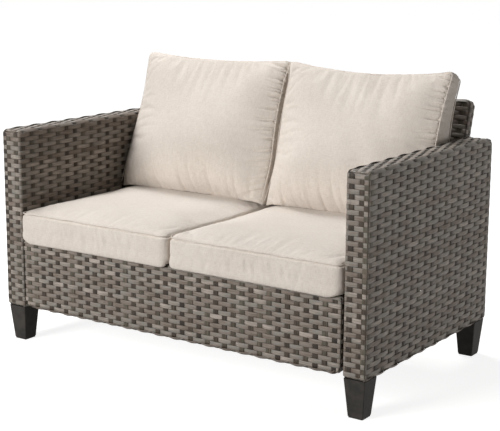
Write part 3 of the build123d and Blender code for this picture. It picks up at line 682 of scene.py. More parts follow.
    def end_strands(self):
        """The stakes up the panel's two ends."""
        strands = []
        far_last = 2 * len(self.end_stakes) + len(self.stakes) - 1
        lanes = []
        for i, (v, share) in enumerate(zip(self.end_stakes, self.end_shares)):
            lanes += [(-1.0, v, share, i), (1.0, v, share, far_last - i)]
        overrun = self.pitch * OVERRUN_SHARE
        lowest, highest = self.row_heights[0] - overrun, self.row_heights[-1] + overrun
        heights = np.concatenate(([lowest], self.row_heights, [highest]))
        beats, levels, _ = sampled(heights, STAKE_STEPS, False)
        from_end = np.minimum(levels - lowest, highest - levels)
        ends_there = np.array([self.ends_at(level) for level in levels])
        reach = np.clip(from_end / CALM_RUN, 0, 1)
        for sign, v, share, index in lanes:
            outward = np.tile((sign, 0.0, 0.0), (len(beats), 1))
            u = ends_there[:, 0] + SINK if sign < 0 else ends_there[:, 1] - SINK
            points = np.column_stack((u, np.full(len(beats), v), levels))
            points = points - outward * tucked(from_end, STAKE_TUCK)[:, None]
            strands.append(strand_line(points, outward, beats + index, reach, share))
        return strands


BANDS = {
    "Strand Width": BAND_WIDTH,
    "Strand Thickness": 0.0015,
    "Wave Height": 0.0017,
    "Unevenness": 0.0018,
    "Lowest Tone": 0.0,
    "Highest Tone": 0.55,
    "Finish": band_rattan,
}
STAKES = {
    "Strand Width": STAKE_WIDTH,
    "Strand Thickness": 0.0014,
    "Wave Height": 0.0004,
    "Unevenness": 0.0012,
    "Lowest Tone": 0.0,
    "Highest Tone": 0.55,
    "Finish": shaded_stake_rattan,
}
STRAPS = {
    "Strand Width": STRAP_WIDTH,
    "Strand Thickness": 0.0012,
    "Wave Height": 0.0007,
    "Unevenness": 0.0003,
    "Lowest Tone": 0.0,
    "Highest Tone": 0.5,
    "Seed": 41,
    "Finish": band_rattan,
}

ARM_END_GAP = 0.017  # from an arm's end to its first stake
ARM_GAPS = 18
APRON_PITCH = 0.029
BACK_PITCH = 0.0396
arm_pitch = (ARM_REAR - FRONT - 2 * ARM_END_GAP) / ARM_GAPS
arm_panel = Panel(
    start=FRONT,
    end=ARM_REAR,
    low=ARM_BOTTOM,
    high=ARM_TOP,
    thickness=ARM_OUTER - ARM_INNER,
    edge=0.007,
    corners=(0.012, 0.012, 0.028, 0.012),
    rows=40,
    flats=5,
    stakes=FRONT + ARM_END_GAP + arm_pitch * np.arange(ARM_GAPS + 1),
    end_stakes=(-0.017, 0.013, 0.0255),
    end_shares=(0.9, 0.55, 0.4),
)
apron_panel = Panel(
    start=-PANEL_HALF,
    end=PANEL_HALF,
    low=APRON_BOTTOM,
    high=DECK_TOP,
    thickness=APRON_REAR - FRONT,
    edge=0.005,
    corners=(0.030, 0.030, 0.0, 0.0),
    rows=15,
    flats=2,
    stakes=APRON_PITCH * (np.arange(38) - 18.5),
    end_stakes=(-0.008, 0.008),
    end_shares=(0.6, 0.6),
)
back_panel = Panel(
    start=-PANEL_HALF,
    end=PANEL_HALF,
    low=-BACK_LENGTH,
    high=0.0,
    thickness=BACK_THICKNESS,
    edge=0.008,
    corners=(0.016, 0.016, 0.016, 0.016),
    rows=35,
    flats=2,
    stakes=BACK_PITCH * (np.arange(28) - 13.5),
    end_stakes=(-0.009, 0.009),
    end_shares=(0.7, 0.7),
)


def axes(along, across, up, origin):
    """The matrix that puts a panel's own axes along these directions."""
    matrix = Matrix((along, across, up)).transposed().to_4x4()
    matrix.translation = origin
    return matrix


def weave(name, panel, place, seed, node):
    """Weaves a panel, placed by a matrix, as two pieces: its bands and its stakes."""
    for label, strands, settings in (
        ("bands", panel.bands() + panel.edge_strands(), BANDS),
        ("stakes", panel.stake_loops() + panel.end_strands(), STAKES),
    ):
        guide = guide_mesh(strands, place)
        piece = grow(f"{name}_{label}", guide, STRANDS, {**settings, "Seed": seed})
        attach(piece, "frame")
        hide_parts(node)


arm_middle = (ARM_INNER + ARM_OUTER) / 2
for side, sign in (("left", -1.0), ("right", 1.0)):
    place = axes((0, 1, 0), (sign, 0, 0), (0, 0, 1), Vector((sign * arm_middle, 0.0, 0.0)))
    weave(f"arm_{side}", arm_panel, place, 11 + int(sign), f"arm_weave_{side}")
apron_middle = Vector((0.0, (FRONT + APRON_REAR) / 2, 0.0))
place = axes((1, 0, 0), (0, -1, 0), (0, 0, 1), apron_middle)
weave("apron", apron_panel, place, 21, "apron_weave")
panel_middle = BACK_ORIGIN - OUT_OF_BACK * BACK_THICKNESS / 2
place = axes((1, 0, 0), OUT_OF_BACK, UP_THE_BACK, panel_middle)
weave("back", back_panel, place, 31, "back_weave")


# Seat deck: straps laced over and under each other

LONG_STRAPS = 19
CROSS_STRAPS = 9
STRAP_SINK = 0.0015


def deck_straps():
    """The straps that run front to back and from side to side."""
    strands = []
    edge = STRAP_WIDTH / 2
    xs = np.linspace(-DECK_HALF + edge, DECK_HALF - edge, LONG_STRAPS)
    ys = np.linspace(APRON_REAR + edge, DECK_REAR - edge, CROSS_STRAPS)
    for places, others, lengthwise, low, high in (
        (xs, ys, True, APRON_REAR, DECK_REAR),
        (ys, xs, False, -DECK_HALF, DECK_HALF),
    ):
        for number, place in enumerate(places):
            crossings = np.concatenate(([low], others, [high]))
            beats, distances, _ = sampled(crossings, BAND_STEPS, False)
            count = len(beats)
            fixed, level = np.full(count, place), np.full(count, DECK_TOP - STRAP_SINK)
            pair = (fixed, distances) if lengthwise else (distances, fixed)
            outward = np.tile((0.0, 0.0, 1.0), (count, 1))
            beats = beats - 1 + number + (1 if lengthwise else 0)
            strands.append(
                strand_line(np.column_stack((*pair, level)), outward, beats, np.ones(count))
            )
    return strands


deck = grow("deck_straps", guide_mesh(deck_straps(), Matrix.Identity(4)), STRANDS, STRAPS)
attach(deck, "frame")
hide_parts("seat_deck")


# Cushions: a boxed form of rings, blown up as cloth, then seamed, puckered and piped

CUSHION_HALF = 0.2795
CUSHION_MIDDLE = 0.280
SKIN_INSET = 0.0005  # how far a skin starts inside its cushion
VOXEL = 0.006
CLOTH_FRAMES = 20
RING_POINTS = 200
WELT_POINTS = 320
# distances from a seam towards the middle of its cap
CROWN_STEPS = np.array((0, 4, 10, 18, 28, 42, 60, 85, 120, 170, 240, 272)) / 1000
# a zip's pocket: half its width, and how far its ends and its long sides take to fade out
POCKET_HALF = 0.018
POCKET_END_EASE = 0.008
POCKET_SIDE_EASE = 0.006


def sewn_ring(half_x, half_y, radius, draws, count):
    """A closed outline with rounded corners whose sides are drawn in by draws, which are
    (both sides, high end, low end)."""
    line = rounded_loop(2 * half_x, 2 * half_y, radius)
    place, _ = on_line(line, np.linspace(0, line[2][-1], count, endpoint=False))
    side_draw, high_draw, low_draw = draws
    x, y = place[:, 0] / half_x, place[:, 1] / half_y
    end_draw = np.where(y > 0, high_draw, low_draw)
    place[:, 0] -= x * side_draw * (1 - y * y)
    place[:, 1] -= y * end_draw * (1 - x * x)
    return place


def stacked(levels, half_x, half_y, radius, draws):
    """A closed mesh through levels of (height, inset), each cap closed at its middle."""
    shape = bmesh.new()
    rings = []
    for height, inset in levels:
        share = max(0.02, 1 - inset / min(half_x, half_y))
        outline = sewn_ring(half_x, half_y, radius, draws, RING_POINTS) * share
        rings.append([shape.verts.new((x, y, height)) for x, y in outline])
    for low, high in zip(rings, rings[1:]):
        for i in range(RING_POINTS):
            j = (i + 1) % RING_POINTS
            shape.faces.new((low[i], low[j], high[j], high[i]))
    shape.faces.new(rings[0][::-1])
    shape.faces.new(rings[-1])
    return shape


def crown_levels(height, crown, spread, inset, sign):
    """Levels of a crowned cap from its seam towards its middle."""
    rises = crown * (1 - np.exp(-CROWN_STEPS / spread))
    return [(height + sign * rise, inset + step) for rise, step in zip(rises, CROWN_STEPS)]


def baked(piece):
    """The piece with its modifiers applied to a plain mesh."""
    evaluated = piece.evaluated_get(bpy.context.evaluated_depsgraph_get())
    mesh = bpy.data.meshes.new_from_object(evaluated)
    piece.modifiers.clear()
    old = piece.data
    piece.data = mesh
    mesh.name = piece.name
    bpy.data.meshes.remove(old)
    return piece


def even_skin(shape, name, place):
    """The shape, placed, as an object with an even skin of small faces."""
    mesh = bpy.data.meshes.new(name)
    shape.normal_update()
    shape.to_mesh(mesh)
    shape.free()
    mesh.transform(place)
    piece = link_object(name, mesh)
    skin = piece.modifiers.new("skin", "REMESH")
    skin.mode = "VOXEL"
    skin.voxel_size = VOXEL
    return baked(piece)


def vertex_values(mesh, field):
    """A mesh's vertex places or normals as an array."""
    flat = np.empty(len(mesh.vertices) * 3)
    mesh.vertices.foreach_get(field, flat)
    return flat.reshape(-1, 3)


def set_places(mesh, points):
    """Moves a mesh's vertices."""
    mesh.vertices.foreach_set("co", np.ascontiguousarray(points).ravel())
    mesh.update()


def blow_up(piece, held, limit, slack):
    """Swells the skin as cloth, held where held is 1, moving no point past the limit."""
    rest = vertex_values(piece.data, "co")
    group = piece.vertex_groups.new(name="held")
    for i in np.nonzero(held > 0.01)[0]:
        group.add([int(i)], float(held[i]), "REPLACE")
    cloth = piece.modifiers.new("cloth", "CLOTH")
    settings = cloth.settings
    settings.use_pressure = True
    settings.uniform_pressure_force = 3.0
    settings.effector_weights.gravity = 0.0
    settings.vertex_group_mass = "held"
    settings.quality = 5
    settings.mass = 0.3
    settings.tension_stiffness = 15
    settings.compression_stiffness = 15
    settings.shear_stiffness = 5
    settings.bending_stiffness = 0.5
    settings.shrink_min = -slack
    cloth.collision_settings.use_self_collision = False
    cloth.collision_settings.use_collision = False
    cloth.point_cache.frame_start = 1
    cloth.point_cache.frame_end = CLOTH_FRAMES
    for number in range(1, CLOTH_FRAMES + 1):
        scene.frame_set(number)
    baked(piece)
    scene.frame_set(1)
    moved = vertex_values(piece.data, "co") - rest
    reach = np.linalg.norm(moved, axis=1)
    kept = limit * np.tanh(reach / limit) / np.maximum(reach, 1e-9)
    set_places(piece.data, rest + moved * kept[:, None])
    piece.vertex_groups.clear()


def ripple(places, spacing, seed):
    """A smooth uneven wave between -1 and 1 along places."""
    random = np.random.default_rng(seed)
    total = np.zeros(len(places))
    for factor in (0.6, 1.0, 1.45, 2.1):
        phase = random.uniform(0, 2 * math.pi)
        total += np.sin(2 * math.pi * places * factor / spacing + phase) * 0.4
    return np.clip(total, -1, 1)


def creases(places, spacing, seed):
    """Uneven creases across places: 0 on the crowns, falling to -1 in narrow valleys."""
    wave = ripple(places, spacing, seed)
    return -np.clip(-wave, 0, 1) ** 1.5 + 0.25 * np.clip(wave, 0, 1)


def near(distances, width):
    """1 at a distance of zero, falling off smoothly over a width."""
    return np.exp(-((distances / width) ** 2))


def eased(places, start, end):
    """0 before the start, 1 past the end, and a smooth step between."""
    share = np.clip((places - start) / (end - start), 0, 1)
    return share * share * (3 - 2 * share)


def welt(name, points, sizes, closed):
    """A piped seam: a thin tube along points, each with its own radius."""
    curve = bpy.data.curves.new(name, "CURVE")
    curve.dimensions = "3D"
    line = curve.splines.new("POLY")
    line.points.add(len(points) - 1)
    for point, place, size in zip(line.points, points, sizes):
        point.co = (*place, 1)
        point.radius = size
    line.use_cyclic_u = closed
    curve.bevel_depth = 1.0
    curve.bevel_resolution = 1
    curve.use_fill_caps = not closed
    source = link_object(name + "_line", curve)
    mesh = bpy.data.meshes.new_from_object(
        source.evaluated_get(bpy.context.evaluated_depsgraph_get())
    )
    bpy.data.objects.remove(source)
    mesh.shade_smooth()
    return link_object(name, mesh)


def sewn_copy(skin, name, shift):
    """A copy of a blown skin, shifted along X and subdivided once."""
    mesh = skin.data.copy()
    mesh.transform(Matrix.Translation((shift, 0, 0)))
    piece = link_object(name, mesh)
    finer = piece.modifiers.new("finer", "SUBSURF")
    finer.levels = 1
    finer.render_levels = 1
    baked(piece)
    piece.data.shade_smooth()
    return piece


# Seat cushions: foam slabs in boxed covers, whose fronts swell past the apron

SEAT_REAR = 0.20298
SEAT_FRONT = -0.374
SEAT_LOW = 0.3203
SEAT_HALF = (SEAT_REAR - SEAT_FRONT) / 2
SEAT_BAND = 0.085  # from the deck to the piped seam
SEAT_RADIUS = 0.021
SEAT_DRAWS = (0.002, 0.002, 0.002)
SEAT_CROWN = 0.012
SEAT_CROWN_SPREAD = 0.022
SEAT_SEAM_INSET = 0.003
# (height, inset) up to the seam: flat beneath, a rounded foot, and an upright band
SEAT_LEVELS = [(0.0, 0.27), (0.0, 0.14), (0.0, 0.04), (0.0, 0.021), (0.0012, 0.013)]
SEAT_LEVELS += [(0.0045, 0.0075), (0.010, 0.0040), (0.019, 0.0018), (0.045, 0.0006)]
SEAT_LEVELS += [(0.065, 0.0012), (SEAT_BAND - 0.006, 0.0024)]
SEAT_TRAVEL = 0.009
SEAT_SLACK = 0.01
SEAT_BULGE = 0.0150
SEAT_BULGE_START = 0.15
# how far the front hangs over the apron, at its left and right end
SEAT_OVERHANG = {"left": (0.012, 0.010), "right": (0.007, 0.008)}
APRON_CLEAR = -0.3775  # in front of the apron's strands
FOOT_HEIGHT = 0.036
FOOT_PUSH = 0.008
FACING_PUSH = 0.003  # closes the two cushions' feet against each other
PLEAT_DEPTH = 0.0013
PLEAT_SPACING = 0.042
DENT_DEPTH = 0.0012
DENT_SPACING = 0.33
SEAT_SEAM_DEPTH = 0.0060
SEAT_SEAM_DROP = 0.0025
SEAT_SEAM_WIDTH = 0.0042
FOOT_SEAM_LEVEL = 0.0105
FOOT_SEAM_DEPTH = 0.0008
SEAT_WELT = 0.0017
SEAT_ZIP_HALF = 0.238
SEAT_ZIP_LEVEL = 0.0425
SEAT_ZIP_DEPTH = 0.0089
seat_middle = Vector((0.0, (SEAT_FRONT + SEAT_REAR) / 2, SEAT_LOW))


def seat_skin():
    """A seat cushion's skin: flat beneath, a rounded foot, and softly crowned on top."""
    crown = crown_levels(SEAT_BAND, SEAT_CROWN, SEAT_CROWN_SPREAD, SEAT_SEAM_INSET, 1)
    half_x, half_y = CUSHION_HALF - SKIN_INSET, SEAT_HALF - 2 * SKIN_INSET
    shape = stacked(SEAT_LEVELS + crown, half_x, half_y, SEAT_RADIUS, SEAT_DRAWS)
    piece = even_skin(shape, "seat_skin", Matrix.Translation(seat_middle))
    x, y, level = (vertex_values(piece.data, "co") - np.array(seat_middle)).T
    from_side = CUSHION_HALF - np.abs(x)
    edge = np.minimum(from_side, SEAT_HALF - np.abs(y))
    held = near(level - SEAT_BAND, 0.004) * (edge < 0.03)
    held = np.maximum(held, near(np.maximum(level - 0.004, 0), 0.004))
    held = np.maximum(held, 0.97 * near(from_side, 0.003))
    blow_up(piece, held, SEAT_TRAVEL, SEAT_SLACK)
    return piece


def seat_swell(y):
    """How far a seat cushion's front half swells forward."""
    return SEAT_BULGE * eased(-y, SEAT_BULGE_START, SEAT_HALF)


def seat_cushion(skin, side, sign):
    """A seat cushion: its cover, with pleats in the front band, and its piped top seam."""
    piece = sewn_copy(skin, f"seat_cushion_{side}", sign * CUSHION_MIDDLE)
    points, normals = vertex_values(piece.data, "co"), vertex_values(piece.data, "normal")
    middle = np.array(seat_middle) + np.array((sign * CUSHION_MIDDLE, 0, 0))
    x, y, level = (points - middle).T
    edge = np.minimum(CUSHION_HALF - np.abs(x), SEAT_HALF - np.abs(y))
    seed = 60 + int(sign)
    pleats = ripple(x + 0.25 * level, PLEAT_SPACING, seed) * (normals[:, 1] < -0.5)
    amount = PLEAT_DEPTH * pleats * near(level - 0.045, 0.032) * near(x - 0.03, 0.15)
    dents = ripple(x * 0.7 + y, DENT_SPACING, seed + 4)
    amount += DENT_DEPTH * dents * (normals[:, 2] > 0.7)
    seam = near(level - SEAT_BAND + SEAT_SEAM_DROP, SEAT_SEAM_WIDTH) * (edge < 0.02)
    amount -= SEAT_SEAM_DEPTH * seam
    foot_seam = near(level - FOOT_SEAM_LEVEL, 0.003) * np.clip(1 - normals[:, 2] ** 2, 0, 1)
    amount -= FOOT_SEAM_DEPTH * foot_seam * (edge < 0.03)
    moved = points + normals * amount[:, None]
    # the feet meet in the middle, the front swells, and its foot hangs over the apron
    facing = eased(0.034 - level, 0, 0.03) * near(CUSHION_HALF + sign * x, 0.05)
    moved[:, 0] -= FACING_PUSH * sign * facing
    moved[:, 1] -= seat_swell(y) * eased(level, -0.008, 0.008)
    foot = eased(FOOT_HEIGHT - level, 0, 0.03) * near(SEAT_HALF + y, 0.03)
    moved[:, 1] -= FOOT_PUSH * foot
    lip = eased(APRON_CLEAR - moved[:, 1], 0, 0.004) * eased(0.03 - level, 0, 0.03)
    outer = eased(CUSHION_HALF - sign * x, 0.004, 0.045)
    moved[:, 2] -= lip * outer * np.interp(x, (-0.2, 0.2), SEAT_OVERHANG[side])
    # the zip's pocket in the rear band
    pocket = eased(SEAT_ZIP_HALF - np.abs(x), 0, POCKET_END_EASE) * (normals[:, 1] > 0.3)
    from_zip = np.abs(level - SEAT_ZIP_LEVEL)
    pocket *= eased(POCKET_HALF - from_zip, 0, POCKET_SIDE_EASE)
    moved[:, 1] -= pocket * np.maximum(moved[:, 1] - (SEAT_REAR - SEAT_ZIP_DEPTH), 0)
    set_places(piece.data, moved)
    ring = sewn_ring(
        CUSHION_HALF - 0.004, SEAT_HALF - 0.0045, SEAT_RADIUS, SEAT_DRAWS, WELT_POINTS
    )
    wave = 0.0008 * ripple(ring[:, 0] + ring[:, 1], 0.14, seed + 7)
    ring[:, 1] -= seat_swell(ring[:, 1])
    ring = np.column_stack((ring, SEAT_BAND + wave)) + middle
    piping = welt(f"seat_cushion_welt_{side}", ring, [SEAT_WELT] * len(ring), True)
    return piece, piping


# Back cushions: fibre-filled covers that lean on the woven back and slump a little

CUSHION_LEAN = math.radians(22.2)
BACK_LOW = 0.4246
BACK_HALF = 0.2564
BACK_RADIUS = 0.016
BACK_DRAWS = (0.004, 0.014, 0.001)
BACK_SEAMS = (0.042, 0.114)
BACK_SEAM_INSET = 0.0035
BACK_BAND = [(0.050, 0.0020), (0.064, 0.0006), (0.078, 0.0), (0.092, 0.0006), (0.106, 0.0020)]
BACK_DEPTH = 0.150  # about where the crown of the front face lies
BACK_TRAVEL = 0.014
BACK_SLACK = 0.012
HEAD_FORWARD = 0.024
HEAD_LEAN_BEHIND = 0.020
HEAD_PINCH = 0.012
FOOT_FULLNESS = 0.010
GATHER_DEPTH = 0.0120
GATHER_SPACING = 0.019
GATHER_LENGTH = 0.042
FOLD_DEPTH = 0.0050
FOLD_SPACING = 0.05
BELLY = 0.028
BELLY_HEIGHT = 0.16
BACK_SEAM_DEPTH = 0.0016
ROLL_UNDER = 0.038
ROLL_HEIGHT = 0.085
CORNER_DROP = 0.010
BACK_WELT = 0.0018
BACK_ZIP_HALF = 0.232
BACK_ZIP_PLACE = 0.140
BACK_ZIP_DEPTH = 0.0085
# how far each head sags in its middle, its right side is tucked in, its right side swells
# out low down, its left side is pressed in there, and its left side is drawn in higher up
BACK_SETTLING = {
    "left": {"sag": 0.001, "tuck": 0.001, "swell": 0.012, "press": 0.0, "draw": 0.010},
    "right": {"sag": 0.011, "tuck": 0.013, "swell": 0.0, "press": 0.012, "draw": 0.0},
}
STANDING = BACK_LOW + 0.003  # what is lower than this stands on the seat
up_the_cushion = Vector((0.0, math.sin(CUSHION_LEAN), math.cos(CUSHION_LEAN)))
out_of_cushion = Vector((0.0, -math.cos(CUSHION_LEAN), math.sin(CUSHION_LEAN)))
touching = BACK_ORIGIN - UP_THE_BACK * 0.065 + OUT_OF_BACK * 0.0003
back_middle = touching + up_the_cushion * (0.120 - BACK_HALF)
back_place = axes((1, 0, 0), up_the_cushion, out_of_cushion, back_middle)
back_turn = np.array(back_place.to_3x3())


def pinched(local):
    """Local places with the cushion's head carried forward and pinched thinner, and its
    foot pushed fuller."""
    x, y, out = local.T
    height = (y + BACK_HALF) / (2 * BACK_HALF)
    head = eased(y, -0.05, BACK_HALF)
    foot = eased(-y, 0.0, BACK_HALF)
    front = eased(out, 0.03, BACK_SEAMS[1])
    lean = np.sin(math.pi / 2 * np.clip(height, 0, 1))
    behind = (HEAD_LEAN_BEHIND * lean + HEAD_FORWARD * head) * (1 - front)
    carried = HEAD_FORWARD * lean * front + behind
    carried -= HEAD_PINCH * head * eased(out, BACK_SEAMS[1], BACK_DEPTH)
    carried += FOOT_FULLNESS * foot * out / BACK_DEPTH
    return np.column_stack((x * (1 - 0.006 * head), y - 0.006 * head, out + carried))


def at_seam(local, seam):
    """Where a seam's plane lies, out of the cushion, at local places."""
    return pinched(np.column_stack((local[:, :2], np.full(len(local), seam))))[:, 2]


def back_local(points):
    """Places in the back cushion's own axes."""
    return (points - np.array(back_middle)) @ back_turn


def back_skin():
    """A back cushion's skin: plump before and behind, and flat where it stands."""
    rear = crown_levels(BACK_SEAMS[0], 0.040, 0.040, BACK_SEAM_INSET, -1)[::-1]
    front = crown_levels(BACK_SEAMS[1], 0.030, 0.036, BACK_SEAM_INSET, 1)
    levels = rear + BACK_BAND + front
    shape = stacked(levels, CUSHION_HALF - SKIN_INSET, BACK_HALF, BACK_RADIUS, BACK_DRAWS)
    for corner, place in zip(shape.verts, pinched(np.array([v.co for v in shape.verts]))):
        corner.co = place
    inverse = back_place.inverted()
    cut = bmesh.ops.bisect_plane(
        shape,
        geom=shape.verts[:] + shape.edges[:] + shape.faces[:],
        plane_co=inverse @ Vector((0, 0.1, BACK_LOW)),
        plane_no=inverse.to_3x3() @ Vector((0, 0, 1)),
        clear_inner=True,
    )
    rim = [e for e in cut["geom_cut"] if isinstance(e, bmesh.types.BMEdge)]
    bmesh.ops.contextual_create(shape, geom=rim)
    piece = even_skin(shape, "back_skin", back_place)
    points = vertex_values(piece.data, "co")
    local = back_local(points)
    edge = np.minimum(CUSHION_HALF - np.abs(local[:, 0]), BACK_HALF - local[:, 1])
    held = near(points[:, 2] - BACK_LOW, 0.005)
    for seam in BACK_SEAMS:
        seam_held = near(local[:, 2] - at_seam(local, seam), 0.004) * (edge < 0.035)
        held = np.maximum(held, seam_held)
    blow_up(piece, held, BACK_TRAVEL, BACK_SLACK)
    return piece


def settled(local, sag, tuck, swell, press, draw):
    """Local places with the head's middle sagged and the two sides in their places."""
    x, y, out = local.T
    head = eased(y, 0.02, BACK_HALF)
    arch = 1 - (x / CUSHION_HALF) ** 2
    tucked_in = eased(x, 0.10, CUSHION_HALF) * eased(y, -0.25, -0.05)
    tucked_in *= 1 - 0.6 * eased(y, 0.10, BACK_HALF)
    front = 0.5 + 0.5 * eased(out, 0.05, 0.12)
    left, right = eased(-x, 0.12, CUSHION_HALF), eased(x, 0.12, CUSHION_HALF)
    low = near(y + 0.09, 0.10)
    corner = eased(y, 0.17, BACK_HALF)
    behind = (1 - eased(out, 0.125, BACK_DEPTH)) * eased(out, 0.04, 0.09)
    moved = x - tuck * tucked_in * front
    moved = moved + swell * right * (low * eased(out, 0.06, 0.11) + 0.7 * corner)
    moved = moved + press * left * (low * behind - 0.9 * corner)
    moved = moved + draw * left * near(y - 0.09, 0.11)
    return np.column_stack((moved, y - sag * head * arch, out))


def back_welts(side, shift, settling):
    """The piping along the two seams of a back cushion, down to where it stands."""
    welts = []
    half_x, half_y = CUSHION_HALF - BACK_SEAM_INSET, BACK_HALF - 0.006
    outline = sewn_ring(half_x, half_y, BACK_RADIUS, BACK_DRAWS, WELT_POINTS)
    for number, seam in enumerate(BACK_SEAMS):
        ring = pinched(np.column_stack((outline, np.full(len(outline), seam))))
        sizes = BACK_WELT - 0.0010 * eased(ring[:, 1], BACK_HALF - 0.03, BACK_HALF - 0.01)
        sizes *= 0.6 + 0.4 * eased(ring[:, 0], -0.1, 0.1)
        placed = settled(ring, **settling) @ back_turn.T + np.array(back_middle) + shift
        kept = placed[:, 2] > STANDING
        first = int(np.argmax(kept & ~np.roll(kept, 1)))
        order = [i % len(ring) for i in range(first, first + int(kept.sum()))]
        name = f"back_cushion_welt_{side}_{number}"
        welts.append(welt(name, placed[order], sizes[order], False))
    return welts


def back_cushion(skin, side, sign):
    """A back cushion: its cover, gathered at its side seams and foot, and its two welts."""
    settling = BACK_SETTLING[side]
    shift = np.array((sign * CUSHION_MIDDLE, 0, 0))
    piece = sewn_copy(skin, f"back_cushion_{side}", sign * CUSHION_MIDDLE)
    points, normals = vertex_values(piece.data, "co"), vertex_values(piece.data, "normal")
    local = back_local(points - shift)
    x, y, out = local.T
    seed = 80 + int(sign)
    front_face = np.clip((normals @ back_turn)[:, 2] * 1.4, 0, 1)
    from_side, from_top = CUSHION_HALF - np.abs(x), BACK_HALF - y
    from_base = points[:, 2] - BACK_LOW
    right_side = eased(x, -0.1, 0.1)
    upper = 0.45 + 0.55 * eased(y, -0.1, 0.1)
    # gathers fan out from the right seam, and folds rise from the foot
    fan = y + (0.2 - 0.4 * y / BACK_HALF) * from_side
    length = GATHER_LENGTH + 0.025 * ripple(y, 0.11, seed + 3)
    gathers = creases(fan, GATHER_SPACING, seed) * near(from_side - 0.010, 0.8 * length)
    amount = GATHER_DEPTH * gathers * right_side * upper
    folds = creases(x + 0.12 * from_base, FOLD_SPACING, seed + 1)
    folds *= near(from_base - 0.01, 0.07) * eased(from_side, 0.01, 0.08)
    amount += FOLD_DEPTH * folds
    amount += 0.0006 * ripple(x, 0.07, seed + 2) * near(from_top, 0.035)
    amount += 0.0016 * ripple(x + 0.5 * y, 0.21, seed + 5)
    arch = np.clip(1 - (x / CUSHION_HALF) ** 2, 0, 1)
    amount += BELLY * near(from_base - BELLY_HEIGHT, 0.10) * arch
    amount *= front_face
    for seam in BACK_SEAMS:
        groove = near(out - at_seam(local, seam), 0.0035) * (0.3 + 0.7 * right_side)
        amount -= BACK_SEAM_DEPTH * groove * (from_side < 0.03) * eased(from_top, 0.0, 0.03)
    moved = settled(back_local(points + normals * amount[:, None] - shift), **settling)
    moved = moved @ back_turn.T + np.array(back_middle) + shift
    # it stands flat on the seat, its front rolled under and its corners drooping
    moved[:, 2] = np.maximum(moved[:, 2], BACK_LOW)
    under = np.clip(1 - from_base / ROLL_HEIGHT, 0, 1) ** 2 * eased(out, 0.06, 0.11)
    moved[:, 1] += ROLL_UNDER * under * np.sqrt(arch)
    moved[:, 2] -= CORNER_DROP * near(from_side, 0.022) * near(from_base, 0.03)
    pocket = eased(BACK_ZIP_HALF - np.abs(x), 0, POCKET_END_EASE) * (moved[:, 2] < STANDING)
    from_zip = np.abs(moved[:, 1] - BACK_ZIP_PLACE)
    pocket *= eased(POCKET_HALF - from_zip, 0, POCKET_SIDE_EASE)
    moved[:, 2] += BACK_ZIP_DEPTH * pocket
    set_places(piece.data, moved)
    return piece, back_welts(side, shift, settling)


seat_blown, back_blown = seat_skin(), back_skin()
for side, sign in (("left", -1.0), ("right", 1.0)):
    cushion, piping = seat_cushion(seat_blown, side, sign)
    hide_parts(f"seat_cushion_cover_{side}", f"seat_cushion_foam_{side}")
    for piece in (cushion, piping):
        piece.data.materials.clear()
        piece.data.materials.append(fabric)
        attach(piece, f"seat_cushion_{side}")
    cushion, welts = back_cushion(back_blown, side, sign)
    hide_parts(f"back_cushion_cover_{side}", f"back_cushion_fill_{side}")
    for piece in (cushion, *welts):
        piece.data.materials.clear()
        piece.data.materials.append(fabric)
        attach(piece, f"back_cushion_{side}")
for skin in (seat_blown, back_blown):
    bpy.data.objects.remove(skin)


# Finishes of the solids that stay: the first line that a node's name starts with holds

FINISHES = (
    (zinc_plate, ("foot_bolts", "arm_bolts", "arm_washers", "back_bolts", "back_washers")),
    (zinc_plate, ("threaded_inserts",)),
    (moulded_plastic, ("foot_", "seat_rail_caps", "back_post_caps", "back_spacers")),
    (powder_coat, ("arm_frame", "apron_frame", "back_post", "back_rails")),
    (powder_coat, ("seat_side_rail", "seat_crossbar", "seat_rear_rail")),
    (zip_metal, ("seat_cushion_zip_slider", "back_cushion_zip_slider")),
    (zip_tape, ("seat_cushion_zip", "back_cushion_zip")),
)
for name, node in nodes.items():
    finish = next((f for f, starts in FINISHES if name.startswith(starts)), fabric)
    node.data.materials.clear()
    node.data.materials.append(finish)


# Floor, backdrop and light

FLOOR_HALF = 15.0
GLOW_START = 0.9  # from the middle, where the floor's own light starts to rise to white
GLOW_END = 2.6


def seen_directly(add):
    """1 on the camera's rays and on those that gloss and glass see the backdrop by."""
    path = add("ShaderNodeLightPath")
    seen = path["Is Camera Ray"]
    for ray in ("Is Glossy Ray", "Is Transmission Ray"):
        seen = add("ShaderNodeMath", {0: seen, 1: path[ray]}, operation="MAXIMUM")[0]
    return seen


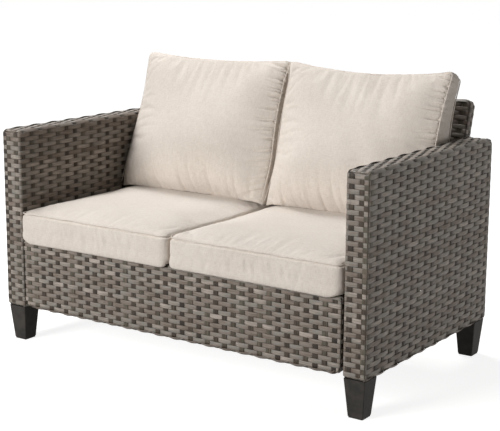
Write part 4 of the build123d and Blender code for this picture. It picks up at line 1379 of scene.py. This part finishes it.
def studio_floor():
    """A pale matte floor that the camera sees as nearly white, with the shadow kept."""
    material, add = new_material("studio_floor")
    matte = add("ShaderNodeBsdfDiffuse", {"Color": colour("b4b2b0")})[0]
    place = add("ShaderNodeTexCoord")["Object"]
    far = add("ShaderNodeVectorMath", {0: place}, operation="LENGTH")["Value"]
    bright = {"Value": far, "From Min": GLOW_START, "From Max": GLOW_END}
    bright.update({"To Min": 0.86, "To Max": 1.0})
    bright = add("ShaderNodeMapRange", bright)["Result"]
    glow = add("ShaderNodeEmission", {"Color": colour("ffffff"), "Strength": bright})[0]
    dark = add("ShaderNodeEmission", {"Strength": 0.0})[0]
    extra = add("ShaderNodeMixShader", {0: seen_directly(add), 1: dark, 2: glow})[0]
    both = add("ShaderNodeAddShader", {0: matte, 1: extra})[0]
    add("ShaderNodeOutputMaterial", {"Surface": both})
    return material


floor_mesh = bpy.data.meshes.new("floor")
floor_corners = [(-1, -1), (1, -1), (1, 1), (-1, 1)]
floor_corners = [(x * FLOOR_HALF, y * FLOOR_HALF, 0) for x, y in floor_corners]
floor_mesh.from_pydata(floor_corners, [], [(0, 1, 2, 3)])
floor = link_object("floor", floor_mesh)
floor.data.materials.append(studio_floor())

world = bpy.data.worlds.new("studio")
scene.world = world
world.use_nodes = True
world.node_tree.nodes.clear()
add_to_world = partial(add_node, world.node_tree)
backdrop = {"Color": colour("ffffff"), "Strength": 1.0}
backdrop = add_to_world("ShaderNodeBackground", backdrop)[0]
ambient = {"Color": colour("f4f2ef"), "Strength": 0.06}
ambient = add_to_world("ShaderNodeBackground", ambient)[0]
sky = {0: seen_directly(add_to_world), 1: ambient, 2: backdrop}
sky = add_to_world("ShaderNodeMixShader", sky)[0]
add_to_world("ShaderNodeOutputWorld", {"Surface": sky})

LAMP_AIM = Vector((0, 0, 0.4))


def soft_lamp(name, place, size, power):
    """A square soft box, aimed at the loveseat."""
    data = bpy.data.lights.new(name, "AREA")
    data.size = size
    data.energy = power
    lamp = bpy.data.objects.new(name, data)
    scene.collection.objects.link(lamp)
    lamp.location = place
    lamp.rotation_euler = (Vector(place) - LAMP_AIM).to_track_quat("Z", "Y").to_euler()


soft_lamp("key_lamp", (-1.9, -6.0, 2.4), 2.1, 340)
soft_lamp("side_lamp", (3.4, -0.25, 0.5), 0.7, 18.5)
soft_lamp("top_lamp", (-1.2, 0.9, 3.3), 1.6, 88)
